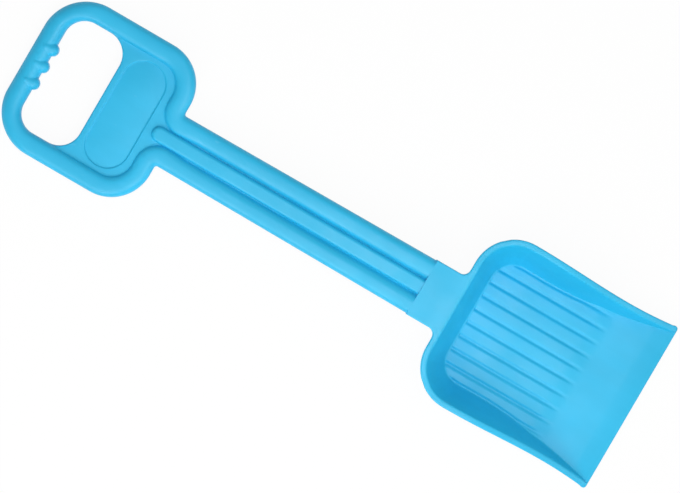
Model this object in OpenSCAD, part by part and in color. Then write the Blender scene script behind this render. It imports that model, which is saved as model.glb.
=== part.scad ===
// Sand shovel: a ribbed handle with a D grip, pushed into the neck sleeve of a fluted scoop.
// Both mouldings are drawn in one datum: X from the grip's outer edge towards the digging edge,
// Y across, Z up from the flat underside of the scoop. place() then lays the shovel down the way
// it rests on a table, on the scoop's rear bottom edge and the end of the grip.

/* [Overall] */
// Length from the grip's outer edge to the digging edge
overall_l = 500; // [470:1:600]
// Rows of facets in each round corner of the scoop
corner_steps = 10; // [6:1:14]

/* [Scoop] */
// Length of the scoop along the handle
scoop_l = 153; // [135:1:175]
// Largest width over the rim, near the back
scoop_w = 132.6; // [122:0.1:145]
// Width over the rim at the waist
waist_w = 128.6; // [118:0.1:140]
// Width at the digging edge
tip_w = 134.6; // [124:0.1:150]
// Height of the rim above the underside at the back
rim_h = 34; // [28:0.5:42]
// Height of the rim's ends above the blade at the digging edge
rim_end_h = 1.2; // [0.8:0.1:3]
// Radius of the two back corners of the rim, seen from above
back_r = 31.6; // [26:0.1:36]
// Draft of the walls, in degrees from upright
draft = 23.3; // [16:0.1:26]
// Wall thickness of the scoop
wall_t = 2.3; // [1.8:0.1:2.8]
// Thickness of the scoop's floor
floor_t = 2.4; // [2:0.1:3.2]
// Outside radius between the floor and the walls
foot_r = 5; // [3:0.5:7]
// How much further in the floor's back corners lie than the slope of the walls puts them
corner_in = 1.4; // [0:0.1:3]
// Distance from the back of the scoop to where the rim begins to fall
rim_level_l = 44; // [38:1:55]
// Length over which the rim bends down
rim_bend_l = 40; // [25:1:50]
// How far the rim stands out from the wall
rim_out = 1.8; // [1:0.1:2.6]
// Height of the rim's edge band
rim_band_h = 3.6; // [2.6:0.1:5]
// Rounding of the rim's top edges
rim_round = 1.2; // [0.6:0.1:1.6]
// Radius of the two corners of the digging edge
tip_corner_r = 2.2; // [1:0.1:5]
// Length over which the floor thins towards the digging edge
lip_l = 16; // [10:1:24]
// Thickness of the digging edge
edge_t = 0.9; // [0.7:0.1:1.8]

/* [Flutes] */
// Number of flutes on the floor, the two beside the walls included
flute_count = 9; // [5:2:9]
// Distance between neighbouring grooves
flute_pitch = 11.05; // [9:0.05:11.2]
// Height of the flutes above the floor
flute_h = 1; // [0.6:0.1:1.4]
// Radius of the round grooves between the flutes
groove_r = 2; // [1.5:0.1:3]
// Width of the two flutes beside the walls
side_flute_w = 10.3; // [8:0.1:11]
// Distance from the back of the scoop to the flutes' far end
flute_end_l = 110; // [90:1:118]
// Length over which the flutes run out
flute_fade_l = 17; // [8:1:25]

/* [Neck] */
// Length of the sleeve from its mouth to the back of the scoop
sleeve_l = 23.8; // [20:0.1:34]
// Width of the sleeve
sleeve_w = 44.2; // [43.8:0.1:48]
// Wall thickness of the sleeve
sleeve_wall = 2.4; // [2:0.1:2.6]
// How far the sleeve stands above the ribs and below the back of the handle
sleeve_step = 0.4; // [0.2:0.1:1.2]
// Radius of the plan fillets between sleeve and rim
neck_fillet_r = 5.5; // [3:0.5:8]
// Clearance between tongue and sleeve
fit = 0.3; // [0.2:0.05:0.5]
// Width of the snap nose
nose_w = 8; // [6:0.5:12]
// Length of the snap nose
nose_l = 7; // [5:0.5:9]
// Thickness of the gussets below the sleeve
gusset_t = 2.4; // [1.8:0.1:3.5]

/* [Grip] */
// Width across the D grip
grip_w = 119; // [108:0.5:135]
// Length of the D grip along the handle
grip_l = 117; // [108:0.5:130]
// Width of the round bar that frames the grip
bar_w = 14.9; // [14:0.1:17]
// Outer corner radius at the end of the grip
end_corner_r = 34; // [28:0.5:40]
// Outer corner radius beside the shaft
shoulder_r = 31; // [26:0.5:34]
// Radius in the corner between grip and shaft
armpit_r = 2; // [1.5:0.1:4]
// Length of the finger window along the handle
window_l = 44.9; // [38:0.1:50]
// Radius of the window's corners beside the web
window_r = 17; // [12:0.5:20]
// Length of the bare oval recess along the handle
recess_l = 32.9; // [26:0.1:34]
// Width of the bare oval recess
recess_w = 82.6; // [70:0.1:86]
// Depth of the bare oval recess
recess_d = 1; // [0.4:0.1:1.2]
// Distance from the window to the recess
recess_gap = 4.5; // [3:0.1:6]

/* [Finger bumps] */
// Number of finger bumps inside the grip bar
bump_count = 3; // [1:1:4]
// Distance between neighbouring bumps
bump_pitch = 13.8; // [11:0.1:16]
// Radius of a bump
bump_r = 4.5; // [3:0.1:5]
// How far a bump stands out into the window
bump_out = 3.7; // [2:0.1:4.2]
// How far the crest of a bump lies below the crest of the bar
bump_drop = 0.6; // [0.4:0.1:2]
// Radius at the pointed end of a bump
bump_tip_r = 1.4; // [0.6:0.1:1.8]

/* [Shaft] */
// Thickness of the handle, from the crest of the ribs to the open back
handle_t = 15; // [14:0.1:17]
// Width of the shaft beside the grip
shaft_w = 40.6; // [38:0.1:42]
// Width of the shaft at the sleeve
neck_w = 43; // [42:0.1:43.6]
// How far the web lies below the crest of the ribs
web_drop = 3.9; // [3:0.1:5]
// Width of the flat middle rib beside the grip
mid_w = 11.8; // [10:0.1:12.2]
// How much wider the middle rib is at the sleeve
mid_gain = 0.7; // [0:0.1:1]
// How far the middle rib lies below the crest of the outer ribs
mid_drop = 0.8; // [0.4:0.1:1.6]
// Rounding of the middle rib's edges
mid_round = 1.8; // [1:0.1:2.2]
// Distance from the end of the middle rib to the shoulder of the grip
mid_lead = 14; // [8:0.5:15]
// How far the grooves beside the middle rib may run below the crest of the ribs
groove_drop = 5.8; // [5:0.1:8]
// Wall thickness of the handle
skin_t = 2.3; // [1.8:0.1:2.8]

/* [Ribs inside the back] */
// Thickness of the cross ribs
rib_t = 1.6; // [1.2:0.1:2.4]
// Distance between the cross ribs of the shaft
rib_pitch = 34; // [20:1:50]
// How far the ribs end short of the open back
rib_recess = 1; // [0.4:0.1:3]
// Distance between the ribs of the grip bar
grip_rib_pitch = 20; // [14:0.5:28]

/* [Hidden] */
$fn = 96;
// Overrun of a cut past the face that it opens
over = 1;

// Heights of the handle
crest_z = rim_h - sleeve_step;
bar_r = bar_w / 2;
bar_z = crest_z - bar_r;
back_z = crest_z - handle_t;
web_z = crest_z - web_drop;
mid_z = crest_z - mid_drop;
groove_z = crest_z - groove_drop;
bore_r = bar_r - skin_t;
bore_round_share = 0.2;
bore_round = skin_t * bore_round_share;

// Stations along the handle
back_x = overall_l - scoop_l;
neck_x = back_x - sleeve_l;
shoulder_x = grip_l - bar_r;
window_x = bar_w + window_l;
window_half = grip_w / 2 - bar_w;
frame_half = grip_w / 2 - bar_r;
armpit_x = grip_l + armpit_r;
armpit_y = shaft_w / 2 + armpit_r;
armpit_bend = armpit_r + bar_r;
splay = atan((neck_w - shaft_w) / 2 / (neck_x - grip_l));
mid_x = grip_l - mid_lead + mid_w / 2;
mid_splay = atan(mid_gain / 2 / (neck_x - mid_x));

// Sleeve, socket and tongue
sleeve_z = back_z - sleeve_step;
socket_w = sleeve_w - 2 * sleeve_wall;
socket_low = sleeve_z + sleeve_wall;
socket_high = rim_h - sleeve_wall;
socket_round_share = 0.8;
socket_round = sleeve_wall * socket_round_share;
nose_x = neck_x + sleeve_l / 2;

// Draft of the scoop's walls
lean = tan(draft);
wall_across = wall_t / cos(draft);
rim_w = rim_out + wall_across;
tip_x = overall_l;
corner_x = back_x + back_r;
waist_share = 0.63;
waist_x = corner_x + (tip_x - corner_x) * waist_share;
fall_x = back_x + rim_level_l;
slope_x = fall_x + rim_bend_l;
lip_x = tip_x - lip_l;
tip_rim_z = edge_t + rim_end_h;
rim_slope = (rim_h - tip_rim_z) / (rim_bend_l / 2 + tip_x - slope_x);
side_steps = 14;
lip_steps = 6;
foot_steps = 5;
// Largest shares of the height left near the digging edge that the band and the foot may take
band_share = 0.45;
foot_share = 0.5;
// How sharply the lip bends down: 1 is a straight slope
lip_power = 1.5;

// Pose at rest: the rear bottom edge of the scoop and the end of the grip touch the ground
foot_angle = 90 - draft;
foot_reach = foot_r * tan(foot_angle / 2);
rest_x = back_x + rim_out + rim_h * lean + foot_reach;
rest_a = atan(back_z / rest_x);
low_x = rest_x + (bar_r - rest_x) * cos(rest_a) - bar_z * sin(rest_a) - bar_r;
high_x = rest_x + (tip_x - rest_x) * cos(rest_a);
centre_x = (low_x + high_x) / 2;

// Lays the shovel down and puts its origin under the middle of its box
module place() {
    translate([rest_x - centre_x, 0, 0])
        rotate([0, -rest_a, 0])
            translate([-rest_x, 0, 0])
                children();
}

// Handle: sections and sweeps

// Section of the bar: a half round of radius r on straight sides that reach down by side
module bar_section(r, side) {
    intersection() {
        circle(r);
        translate([-r, 0])
            square([2 * r, r]);
    }
    translate([-r, -side])
        square([2 * r, side]);
}

// Straight run of a section from a point, along a heading in the XY plane
module run(start, heading, length) {
    translate([start[0], start[1], bar_z])
        rotate([90, 0, 90 + heading])
            linear_extrude(length)
                children();
}

// Bend of a section about a centre, from one angle through a sweep
module bend(centre, radius, from, sweep) {
    translate([centre[0], centre[1], bar_z])
        rotate([0, 0, from])
            rotate_extrude(angle = sweep)
                translate([radius, 0])
                    children();
}

// Sweeps a section round the D, through the two shoulders and down both sides of the shaft
module along_frame() {
    end_y = grip_w / 2 - end_corner_r;
    turn_x = grip_l - shoulder_r;
    turn_y = grip_w / 2 - shoulder_r;
    run([bar_r, -end_y], 90, 2 * end_y) children();
    for (side = [0, 1])
        mirror([0, side, 0]) {
            bend([end_corner_r, end_y], end_corner_r - bar_r, 90, 90) children();
            run([end_corner_r, frame_half], 0, turn_x - end_corner_r) children();
            bend([turn_x, turn_y], shoulder_r - bar_r, 0, 90) children();
            run([shoulder_x, armpit_y], 90, turn_y - armpit_y) children();
            bend([armpit_x, armpit_y], armpit_bend, 180, 90 + splay) children();
            run([armpit_x + armpit_bend * sin(splay), armpit_y - armpit_bend * cos(splay)],
                splay, (neck_x - armpit_x) / cos(splay) + over) children();
        }
}

// Plan of the finger window's far end, grown by a wall
module window_plan(grow) {
    half = window_half + grow;
    r = window_r + grow;
    far = window_x + grow;
    translate([0, -half])
        square([far - r, 2 * half]);
    translate([0, r - half])
        square([far, 2 * (half - r)]);
    for (y = [r - half, half - r])
        translate([far - r, y])
            circle(r);
}

// Plan of the web, out to the middle of the bar, with the window's end cut away
module web_plan(grow) {
    r = shoulder_r - bar_r;
    from = window_x - window_r;
    difference() {
        union() {
            translate([from, -frame_half])
                square([shoulder_x - r - from, 2 * frame_half]);
            translate([from, r - frame_half])
                square([shoulder_x - from, 2 * (frame_half - r)]);
            for (y = [r - frame_half, frame_half - r])
                translate([shoulder_x - r, y])
                    circle(r);
        }
        window_plan(grow);
    }
    translate([shoulder_x - bar_r, -(shaft_w / 2 - bar_r)])
        square([2 * bar_r + armpit_r, shaft_w - bar_w]);
}

// Plan of the shaft between the middles of its outer ribs
module shaft_plan() {
    start_y = shaft_w / 2 - bar_r;
    end_y = start_y + (neck_x + over - armpit_x) * tan(splay);
    polygon([
        [shoulder_x, -start_y],
        [armpit_x, -start_y],
        [neck_x + over, -end_y],
        [neck_x + over, end_y],
        [armpit_x, start_y],
        [shoulder_x, start_y]
    ]);
}

// Half section of the middle rib, from inner past its middle to its rounded edge
module mid_section(inner, half, top, r) {
    low = bar_z - back_z + over;
    translate([-inner, -low])
        square([inner + half - r, low + top]);
    translate([half - 2 * r, -low])
        square([2 * r, low + top - r]);
    translate([half - r, top - r])
        circle(r);
}

// Middle rib: its round end and both halves of its slightly widening run
module along_mid(half, top, r, length) {
    bend([mid_x, 0], 0, 90 + mid_splay, 180 - 2 * mid_splay)
        mid_section(0, half, top - bar_z, r);
    for (side = [0, 1])
        mirror([0, side, 0])
            run([mid_x, 0], mid_splay, length)
                mid_section(half / 2, half, top - bar_z, r);
}

// Oval of a given length along X and width across
module oval(length, width) {
    r = length / 2;
    translate([-r, r - width / 2])
        square([length, width - length]);
    for (y = [r - width / 2, width / 2 - r])
        translate([0, y])
            circle(r);
}

// One finger bump: an upright nose with a round top and a ridge that narrows up the bar
module bump() {
    nose = bar_w + bump_out - bump_r;
    top = crest_z - bump_drop - bump_r;
    rise = crest_z - bump_tip_r - top;
    back = nose - bar_r;
    translate([nose, 0, back_z])
        cylinder(h = top - back_z, r = bump_r);
    translate([nose, 0, top]) {
        sphere(bump_r);
        rotate([0, -atan2(back, rise), 0])
            cylinder(h = norm([back, rise]), r1 = bump_r, r2 = bump_tip_r);
    }
}

// Handle without its hollow back
module handle_body() {
    difference() {
        union() {
            along_frame() bar_section(bar_r, handle_t - bar_r);
            translate([0, 0, back_z])
                linear_extrude(web_z - back_z)
                    web_plan(0);
            translate([0, 0, back_z])
                linear_extrude(groove_z - back_z)
                    shaft_plan();
            along_mid(mid_w / 2, mid_z, mid_round, neck_x + over - mid_x);
        }
        translate([neck_x, -grip_w, back_z - 2 * over])
            cube([overall_l, 2 * grip_w, handle_t + 4 * over]);
        translate([-grip_w, -grip_w, back_z - 2 * over])
            cube([overall_l, 2 * grip_w, 2 * over]);
        translate([window_x + recess_gap + recess_l / 2, 0, web_z - recess_d])
            linear_extrude(handle_t)
                oval(recess_l, recess_w);
    }
    for (i = [0 : bump_count - 1])
        translate([0, (i - (bump_count - 1) / 2) * bump_pitch, 0])
            bump();
}

// Cross ribs that stiffen the open back, and the wall that closes the shaft at the sleeve
module back_ribs() {
    low = back_z + rib_recess;
    shaft_bays = floor((neck_x - grip_l) / rib_pitch);
    for (i = [0 : shaft_bays - 1])
        translate([neck_x - (i + 1) * (neck_x - grip_l) / shaft_bays, -shaft_w, low])
            cube([rib_t, 2 * shaft_w, handle_t]);
    translate([neck_x - skin_t, -shaft_w, back_z - 2 * over])
        cube([skin_t + 2 * over, 2 * shaft_w, 2 * handle_t]);
    for (x = [end_corner_r, window_x - window_r, window_x + recess_gap + recess_l / 2])
        translate([x, -grip_w, low])
            cube([rib_t, 2 * grip_w, handle_t]);
    grip_bays = floor((grip_w - 2 * end_corner_r) / grip_rib_pitch);
    for (i = [0 : grip_bays])
        translate([0, (i - grip_bays / 2) * grip_rib_pitch - rib_t / 2, low])
            cube([bar_w, rib_t, handle_t]);
}

// Hollow that leaves a wall of even thickness, open at the back
module handle_hollow() {
    difference() {
        union() {
            along_frame() bar_section(bore_r, handle_t - bar_r + over);
            translate([0, 0, back_z - over])
                linear_extrude(web_z - skin_t - back_z + over)
                    intersection() {
                        web_plan(skin_t);
                        translate([0, -grip_w])
                            square([grip_l - 2 * skin_t, 2 * grip_w]);
                    }
            translate([0, 0, back_z - over])
                linear_extrude(groove_z - skin_t - back_z + over)
                    shaft_plan();
            along_mid(mid_w / 2 - skin_t, mid_z - skin_t, bore_round, neck_x - mid_x);
        }
        back_ribs();
    }
}

// Section of the socket, or of the tongue when drawn in by gap, as seen along X
module neck_section(gap) {
    r = socket_round;
    half = socket_w / 2 - gap;
    low = socket_low + gap;
    high = socket_high - gap;
    translate([-half, low + r])
        square([2 * half, high - low - 2 * r]);
    translate([r - half, low])
        square([2 * (half - r), high - low]);
    for (y = [r - half, half - r])
        for (z = [low + r, high - r])
            translate([y, z])
                circle(r);
}

// Space in front of the scoop's back wall, by a gap
module neck_reach(gap) {
    top = back_x + rim_out - gap;
    rotate([90, 0, 0])
        linear_extrude(2 * sleeve_w, center = true)
            polygon([
                [neck_x - sleeve_l, 0],
                [top + rim_h * lean, 0],
                [top, rim_h],
                [neck_x - sleeve_l, rim_h]
            ]);
}

// Tongue of the handle, a channel that is open downwards, with its snap nose
module tongue() {
    low = socket_low + fit;
    intersection() {
        difference() {
            translate([neck_x - skin_t, 0, 0])
                rotate([90, 0, 90])
                    linear_extrude(skin_t + 2 * sleeve_l)
                        neck_section(fit);
            for (side = [0, 1])
                mirror([0, side, 0])
                    translate([neck_x, nose_w / 2, low - over])
                        cube([sleeve_l - skin_t, socket_w / 2 - fit - skin_t - nose_w / 2,
                              socket_high - fit - skin_t - low + over]);
        }
        neck_reach(2 * fit);
    }
    rotate([90, 0, 0])
        linear_extrude(nose_w, center = true)
            polygon([
                [nose_x, low + socket_round],
                [nose_x, sleeve_z + fit],
                [nose_x + rib_t, sleeve_z + fit],
                [nose_x + nose_l, low],
                [nose_x + nose_l, low + socket_round]
            ]);
}

module handle() {
    color([0.34, 0.78, 0.97])
        place() {
            difference() {
                handle_body();
                handle_hollow();
            }
            tongue();
        }
}

// Scoop: heights and widths along X

// Height of the rim above the datum
function rim_at(x) =
    x < fall_x ? rim_h
    : x < slope_x ? rim_h - rim_slope * pow(x - fall_x, 2) / (2 * rim_bend_l)
    : rim_h - rim_slope * (rim_bend_l / 2 + x - slope_x);

// Height of the floor's upper face, which falls to the digging edge
function floor_at(x) =
    x < lip_x ? floor_t : floor_t - (floor_t - edge_t) * pow((x - lip_x) / lip_l, lip_power);

// How much further in the floor lies at a station of the round back corners
function corner_at(x) =
    let (share = x < corner_x ? (corner_x - x) / back_r : 0)
    4 * corner_in * share * share * (1 - share * share);

// Half the width over the rim
function half_at(x) =
    x < waist_x
    ? (waist_w + (scoop_w - waist_w) * (1 + cos(180 * (x - corner_x) / (waist_x - corner_x))) / 2) / 2
    : (waist_w + (tip_w - waist_w) * pow((x - waist_x) / (tip_x - waist_x), 2)) / 2;

// Stations of one side of the rim, from the digging edge to the back, each a point of the
// outline and the direction that points out of it
side_x = concat(
    [for (i = [0 : lip_steps - 1]) tip_x - i * lip_l / lip_steps],
    [for (i = [0 : side_steps - 1]) lip_x - i * (lip_x - corner_x) / side_steps]
);
function side_station(x) =
    let (run = lip_l / lip_steps,
         slope = x == tip_x ? 0 : (half_at(x + run / 2) - half_at(x - run / 2)) / run,
         size = norm([slope, 1]))
    [x, half_at(x), -slope / size, 1 / size];
half_outline = concat(
    [for (x = side_x) side_station(x)],
    [for (i = [0 : corner_steps])
        let (a = 90 + 90 * i / corner_steps)
        [corner_x + back_r * cos(a), scoop_w / 2 - back_r + back_r * sin(a), cos(a), sin(a)]]
);
outline = concat(
    half_outline,
    [for (i = [len(half_outline) - 1 : -1 : 0])
        let (s = half_outline[i])
        [s[0], -s[1], s[2], -s[3]]]
);

// One ring of a shell: every station drawn in by its inset and set to its height
function ring(rows, k, front) =
    [for (i = [0 : len(outline) - 1])
        let (s = outline[i], row = rows[i][k], end = s[0] == tip_x)
        [s[0] - row[0] * s[2] + (end ? front : 0), s[1] - row[0] * s[3], row[1]]];

// Closed solid through a stack of rings, with the two sides joined across at both ends
module ring_solid(rows, front) {
    n = len(outline);
    last = len(rows[0]) - 1;
    points = [for (k = [0 : last]) each ring(rows, k, front)];
    walls = [for (k = [0 : last - 1], i = [0 : n - 1], t = [0, 1])
        let (a = k * n + i, b = k * n + (i + 1) % n)
        t == 0 ? [a, b + n, b] : [a, a + n, b + n]];
    caps = [for (i = [0 : n / 2 - 2], t = [0, 1])
        t == 0 ? [i, n - 2 - i, n - 1 - i] : [i, i + 1, n - 2 - i]];
    lids = [for (f = caps) [for (v = [2, 1, 0]) f[v] + last * n]];
    polyhedron(points, concat(walls, caps, lids));
}

// Profile of the outside at a station: rounded foot, drafted wall, rim band, rounded top
function outside(x) =
    let (high = rim_at(x),
         band = min(rim_band_h, band_share * high),
         r = min(foot_r, foot_share * (high - band)),
         round = min(rim_round, band / 2),
         foot = rim_out + high * lean + corner_at(x))
    concat(
        [for (i = [0 : foot_steps])
            let (a = foot_angle * i / foot_steps)
            [foot + r * tan(foot_angle / 2) - r * sin(a), r * (1 - cos(a))]],
        [[rim_out + band * lean, high - band],
         [round / 2, high - band + round / 4],
         [0, high - band + round],
         [0, high - round],
         [round * (1 - cos(45)), high - round * (1 - sin(45))],
         [round, high]]
    );

// Profile of the inside: edge of the floor, small fillet, drafted wall, rounded rim
function inside(x) =
    let (low = floor_at(x),
         high = rim_at(x),
         round = min(rim_round, (high - low) / 3),
         r = min(foot_r / 3, (high - low) / 3),
         foot = rim_w + (high - low) * lean + corner_at(x))
    [[foot + r * tan(foot_angle / 2), low],
     [foot + r * tan(foot_angle / 2) - r * sin(foot_angle / 2), low + r * (1 - cos(foot_angle / 2))],
     [foot + r * tan(foot_angle / 2) - r * sin(foot_angle), low + r * (1 - cos(foot_angle))],
     [rim_w + round * lean, high - round],
     [rim_w - round * (1 - cos(45)), high - round * (1 - sin(45))],
     [rim_w - round, high],
     [rim_w - round, high + over]];

// Raised floor with round grooves between its flutes, which runs out towards the blade
module flutes() {
    fade_x = back_x + flute_end_l - flute_fade_l;
    end_x = back_x + flute_end_l;
    side_y = (flute_count / 2 - 1) * flute_pitch + side_flute_w;
    inner = [for (i = [1 : flute_count - 1]) (i - flute_count / 2) * flute_pitch];
    difference() {
        rotate([90, 0, 0])
            linear_extrude(scoop_w, center = true)
                polygon([
                    [back_x, floor_t / 2],
                    [end_x, floor_t / 2],
                    [end_x, floor_t],
                    [fade_x, floor_t + flute_h],
                    [back_x, floor_t + flute_h]
                ]);
        for (y = concat(-side_y, inner, side_y))
            translate([back_x - over, y, floor_t + groove_r])
                rotate([0, 90, 0])
                    cylinder(h = scoop_l, r = groove_r);
    }
}

// Sleeve that takes the tongue, with its plan fillets and gussets
module sleeve() {
    inset = rim_out + wall_across / 2;
    wall_low_x = back_x + inset + (rim_h - sleeve_z) * lean;
    intersection() {
        translate([neck_x, -sleeve_w / 2, sleeve_z])
            cube([sleeve_l + rim_h, sleeve_w, rim_h - sleeve_z]);
        rotate([90, 0, 0])
            linear_extrude(2 * sleeve_w, center = true)
                polygon([
                    [neck_x - over, 0],
                    [back_x + inset + rim_h * lean, 0],
                    [back_x + inset, rim_h],
                    [neck_x - over, rim_h]
                ]);
    }
    for (side = [0, 1])
        mirror([0, side, 0]) {
            translate([0, 0, rim_h - rim_band_h])
                linear_extrude(rim_band_h - rim_round / 2)
                    difference() {
                        translate([back_x - neck_fillet_r, sleeve_w / 2 - over])
                            square([neck_fillet_r + rim_w / 2, neck_fillet_r + over]);
                        translate([back_x - neck_fillet_r, sleeve_w / 2 + neck_fillet_r])
                            circle(neck_fillet_r);
                    }
            translate([0, sleeve_w / 2 - sleeve_wall, 0])
                rotate([90, 0, 0])
                    linear_extrude(gusset_t)
                        polygon([
                            [neck_x + sleeve_wall, sleeve_z + sleeve_wall / 2],
                            [neck_x + sleeve_wall, sleeve_z],
                            [wall_low_x + (sleeve_z - foot_r) * lean, foot_r],
                            [wall_low_x, sleeve_z + sleeve_wall / 2]
                        ]);
        }
}

module scoop() {
    color([0.34, 0.78, 0.97])
        place()
            difference() {
                union() {
                    ring_solid([for (s = outline) outside(s[0])], 0);
                    sleeve();
                }
                difference() {
                    ring_solid([for (s = outline) inside(s[0])], over);
                    flutes();
                }
                intersection() {
                    translate([neck_x - over, 0, 0])
                        rotate([90, 0, 90])
                            linear_extrude(over + 2 * sleeve_l)
                                neck_section(0);
                    neck_reach(0);
                }
                translate([nose_x - fit, -nose_w / 2 - fit, sleeve_z - over])
                    cube([nose_l + 2 * fit, nose_w + 2 * fit, 2 * sleeve_wall]);
                for (side = [0, 1])
                    mirror([0, side, 0])
                        translate([tip_x - tip_corner_r, tip_w / 2 - tip_corner_r, -over])
                            difference() {
                                cube([tip_corner_r + over, tip_corner_r + over, rim_h]);
                                cylinder(h = rim_h, r = tip_corner_r);
                            }
            }
}

handle();
scoop();
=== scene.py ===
"""Looks of the sand shovel: its scoop and handle, their moulded plastic, and the studio round them.

Sizes are in millimetres in the datum of the part's source: X runs from the grip's outer edge to the
digging edge, Y across, Z up from the scoop's flat underside. Each piece is modelled there and then
laid down the way the shovel rests, which also turns millimetres into metres.
"""

import logging
import math
from dataclasses import dataclass
from enum import Enum
from typing import Callable, Sequence

import bmesh
import bpy
import numpy as np
from mathutils import Matrix, Vector
from mathutils.geometry import delaunay_2d_cdt


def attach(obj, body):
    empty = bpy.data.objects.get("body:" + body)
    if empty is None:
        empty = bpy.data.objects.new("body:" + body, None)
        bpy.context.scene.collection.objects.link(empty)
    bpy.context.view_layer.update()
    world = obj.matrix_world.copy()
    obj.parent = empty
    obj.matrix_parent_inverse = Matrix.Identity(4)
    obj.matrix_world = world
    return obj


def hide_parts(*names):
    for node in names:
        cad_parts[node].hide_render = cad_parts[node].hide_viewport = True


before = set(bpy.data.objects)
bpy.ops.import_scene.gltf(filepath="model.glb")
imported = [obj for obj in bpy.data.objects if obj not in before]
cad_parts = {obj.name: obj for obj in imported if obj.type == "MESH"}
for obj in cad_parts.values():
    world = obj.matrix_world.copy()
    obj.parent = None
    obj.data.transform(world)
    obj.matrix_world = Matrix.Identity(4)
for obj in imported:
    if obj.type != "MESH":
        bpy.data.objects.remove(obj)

LOG = logging.getLogger("sand_shovel")
Row = tuple[float, float]
Point = tuple[float, float, float]
# One millimetre in metres
MM = 0.001
# A distance larger than any in the shovel
FAR = 1e9
# Places closer than this count as the same
NEAR = 0.01
# Allowance for rounding errors
TINY = 1e-6
# Steepness at which the plain forms fall away outside their edge, so that they don't show there
FALL = 2.5


class Grain(Enum):
    """How the surface of a moulding was finished in its tool."""

    SATIN = "satin"
    POLISHED = "polished"


def lerp(start: float, end: float, share: float) -> float:
    """Returns the value that lies a share of the way from start to end."""
    return start + (end - start) * share


def smooth(share: float) -> float:
    """Returns a share from 0 to 1 with soft ends."""
    share = min(1.0, max(0.0, share))
    return share * share * (3 - 2 * share)


def wave(share: float) -> float:
    """Returns a dip's depth, from 1 in its middle down to 0 from a share of 1 on."""
    return 0.5 + 0.5 * math.cos(math.pi * min(1.0, share))


def walk_along(start: float, end: float, step: float) -> list[float]:
    """Lists the places a step apart from a start that lie before an end."""
    return [start + i * step for i in range(max(0, math.ceil((end - start) / step)))]


def direction(angle: float) -> Vector:
    """Returns the direction in plan at an angle."""
    return Vector((math.cos(angle), math.sin(angle)))


def ramp(x: np.ndarray, start: float, length: float) -> np.ndarray:
    """Returns the shares from 0 at a start to 1 a length further on."""
    return np.clip((x - start) / length, 0, 1)


def ease(share: np.ndarray) -> np.ndarray:
    """Returns shares from 0 to 1 with soft ends."""
    return share * share * (3 - 2 * share)


def blend_max(a: np.ndarray, b: np.ndarray, soft: float) -> np.ndarray:
    """Returns the higher of two heights with a fillet where they cross."""
    return 0.5 * (a + b + np.sqrt((a - b) ** 2 + soft**2))


def halfway(a: Row, b: Row) -> Row:
    """Returns the point halfway between two points of a profile."""
    return lerp(a[0], b[0], 0.5), lerp(a[1], b[1], 0.5)


def all_near(values: Sequence[float], target: float) -> bool:
    """Tells whether all values lie at a target."""
    return all(abs(value - target) < NEAR for value in values)


def span_x(edge: bmesh.types.BMEdge) -> float:
    """Returns how far an edge reaches along the shovel."""
    return abs(edge.verts[0].co.x - edge.verts[1].co.x)


def foot_arc(end: float, low: float, radius: float, angle: float, steps: int) -> list[Row]:
    """Rounds the foot of a wall.

    Args:
        end: Where the level part ends.
        low: Its height.
        radius: Radius of the arc.
        angle: How far the arc turns up.
        steps: Number of segments.

    Returns:
        The points of the arc, from the level part up.
    """
    turns = [angle * i / steps for i in range(steps + 1)]
    return [(end - radius * math.sin(a), low + radius * (1 - math.cos(a))) for a in turns]


def curve_rows(start: Row, corner: Row, end: Row, steps: int) -> list[Row]:
    """Rounds a corner of a profile.

    Args:
        start: Where the rounding leaves the first side.
        corner: The sharp corner that it rounds.
        end: Where it reaches the second side.
        steps: Number of segments.

    Returns:
        The points of the rounding, both ends among them.
    """
    rows = []
    for i in range(steps + 1):
        t = i / steps
        a, b, c = (1 - t) ** 2, 2 * t * (1 - t), t * t
        x, z = (a * p + b * q + c * r for p, q, r in zip(start, corner, end))
        rows.append((x, z))
    return rows


@dataclass(frozen=True)
class Rest:
    """Where the shovel's datum lies in the shared frame."""

    pivot_x: float = 366.7333
    tilt: float = math.radians(2.903442)
    centre_x: float = 249.48278

    def matrix(self) -> Matrix:
        """Works out the move from the datum in millimetres to the shared frame in metres.

        Returns:
            The move, which turns the datum about the pivot and centres it.
        """
        to_pivot = Matrix.Translation((-self.pivot_x, 0, 0))
        to_centre = Matrix.Translation((self.pivot_x - self.centre_x, 0, 0))
        lay = to_centre @ Matrix.Rotation(-self.tilt, 4, "Y") @ to_pivot
        return Matrix.Scale(MM, 4) @ lay


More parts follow.
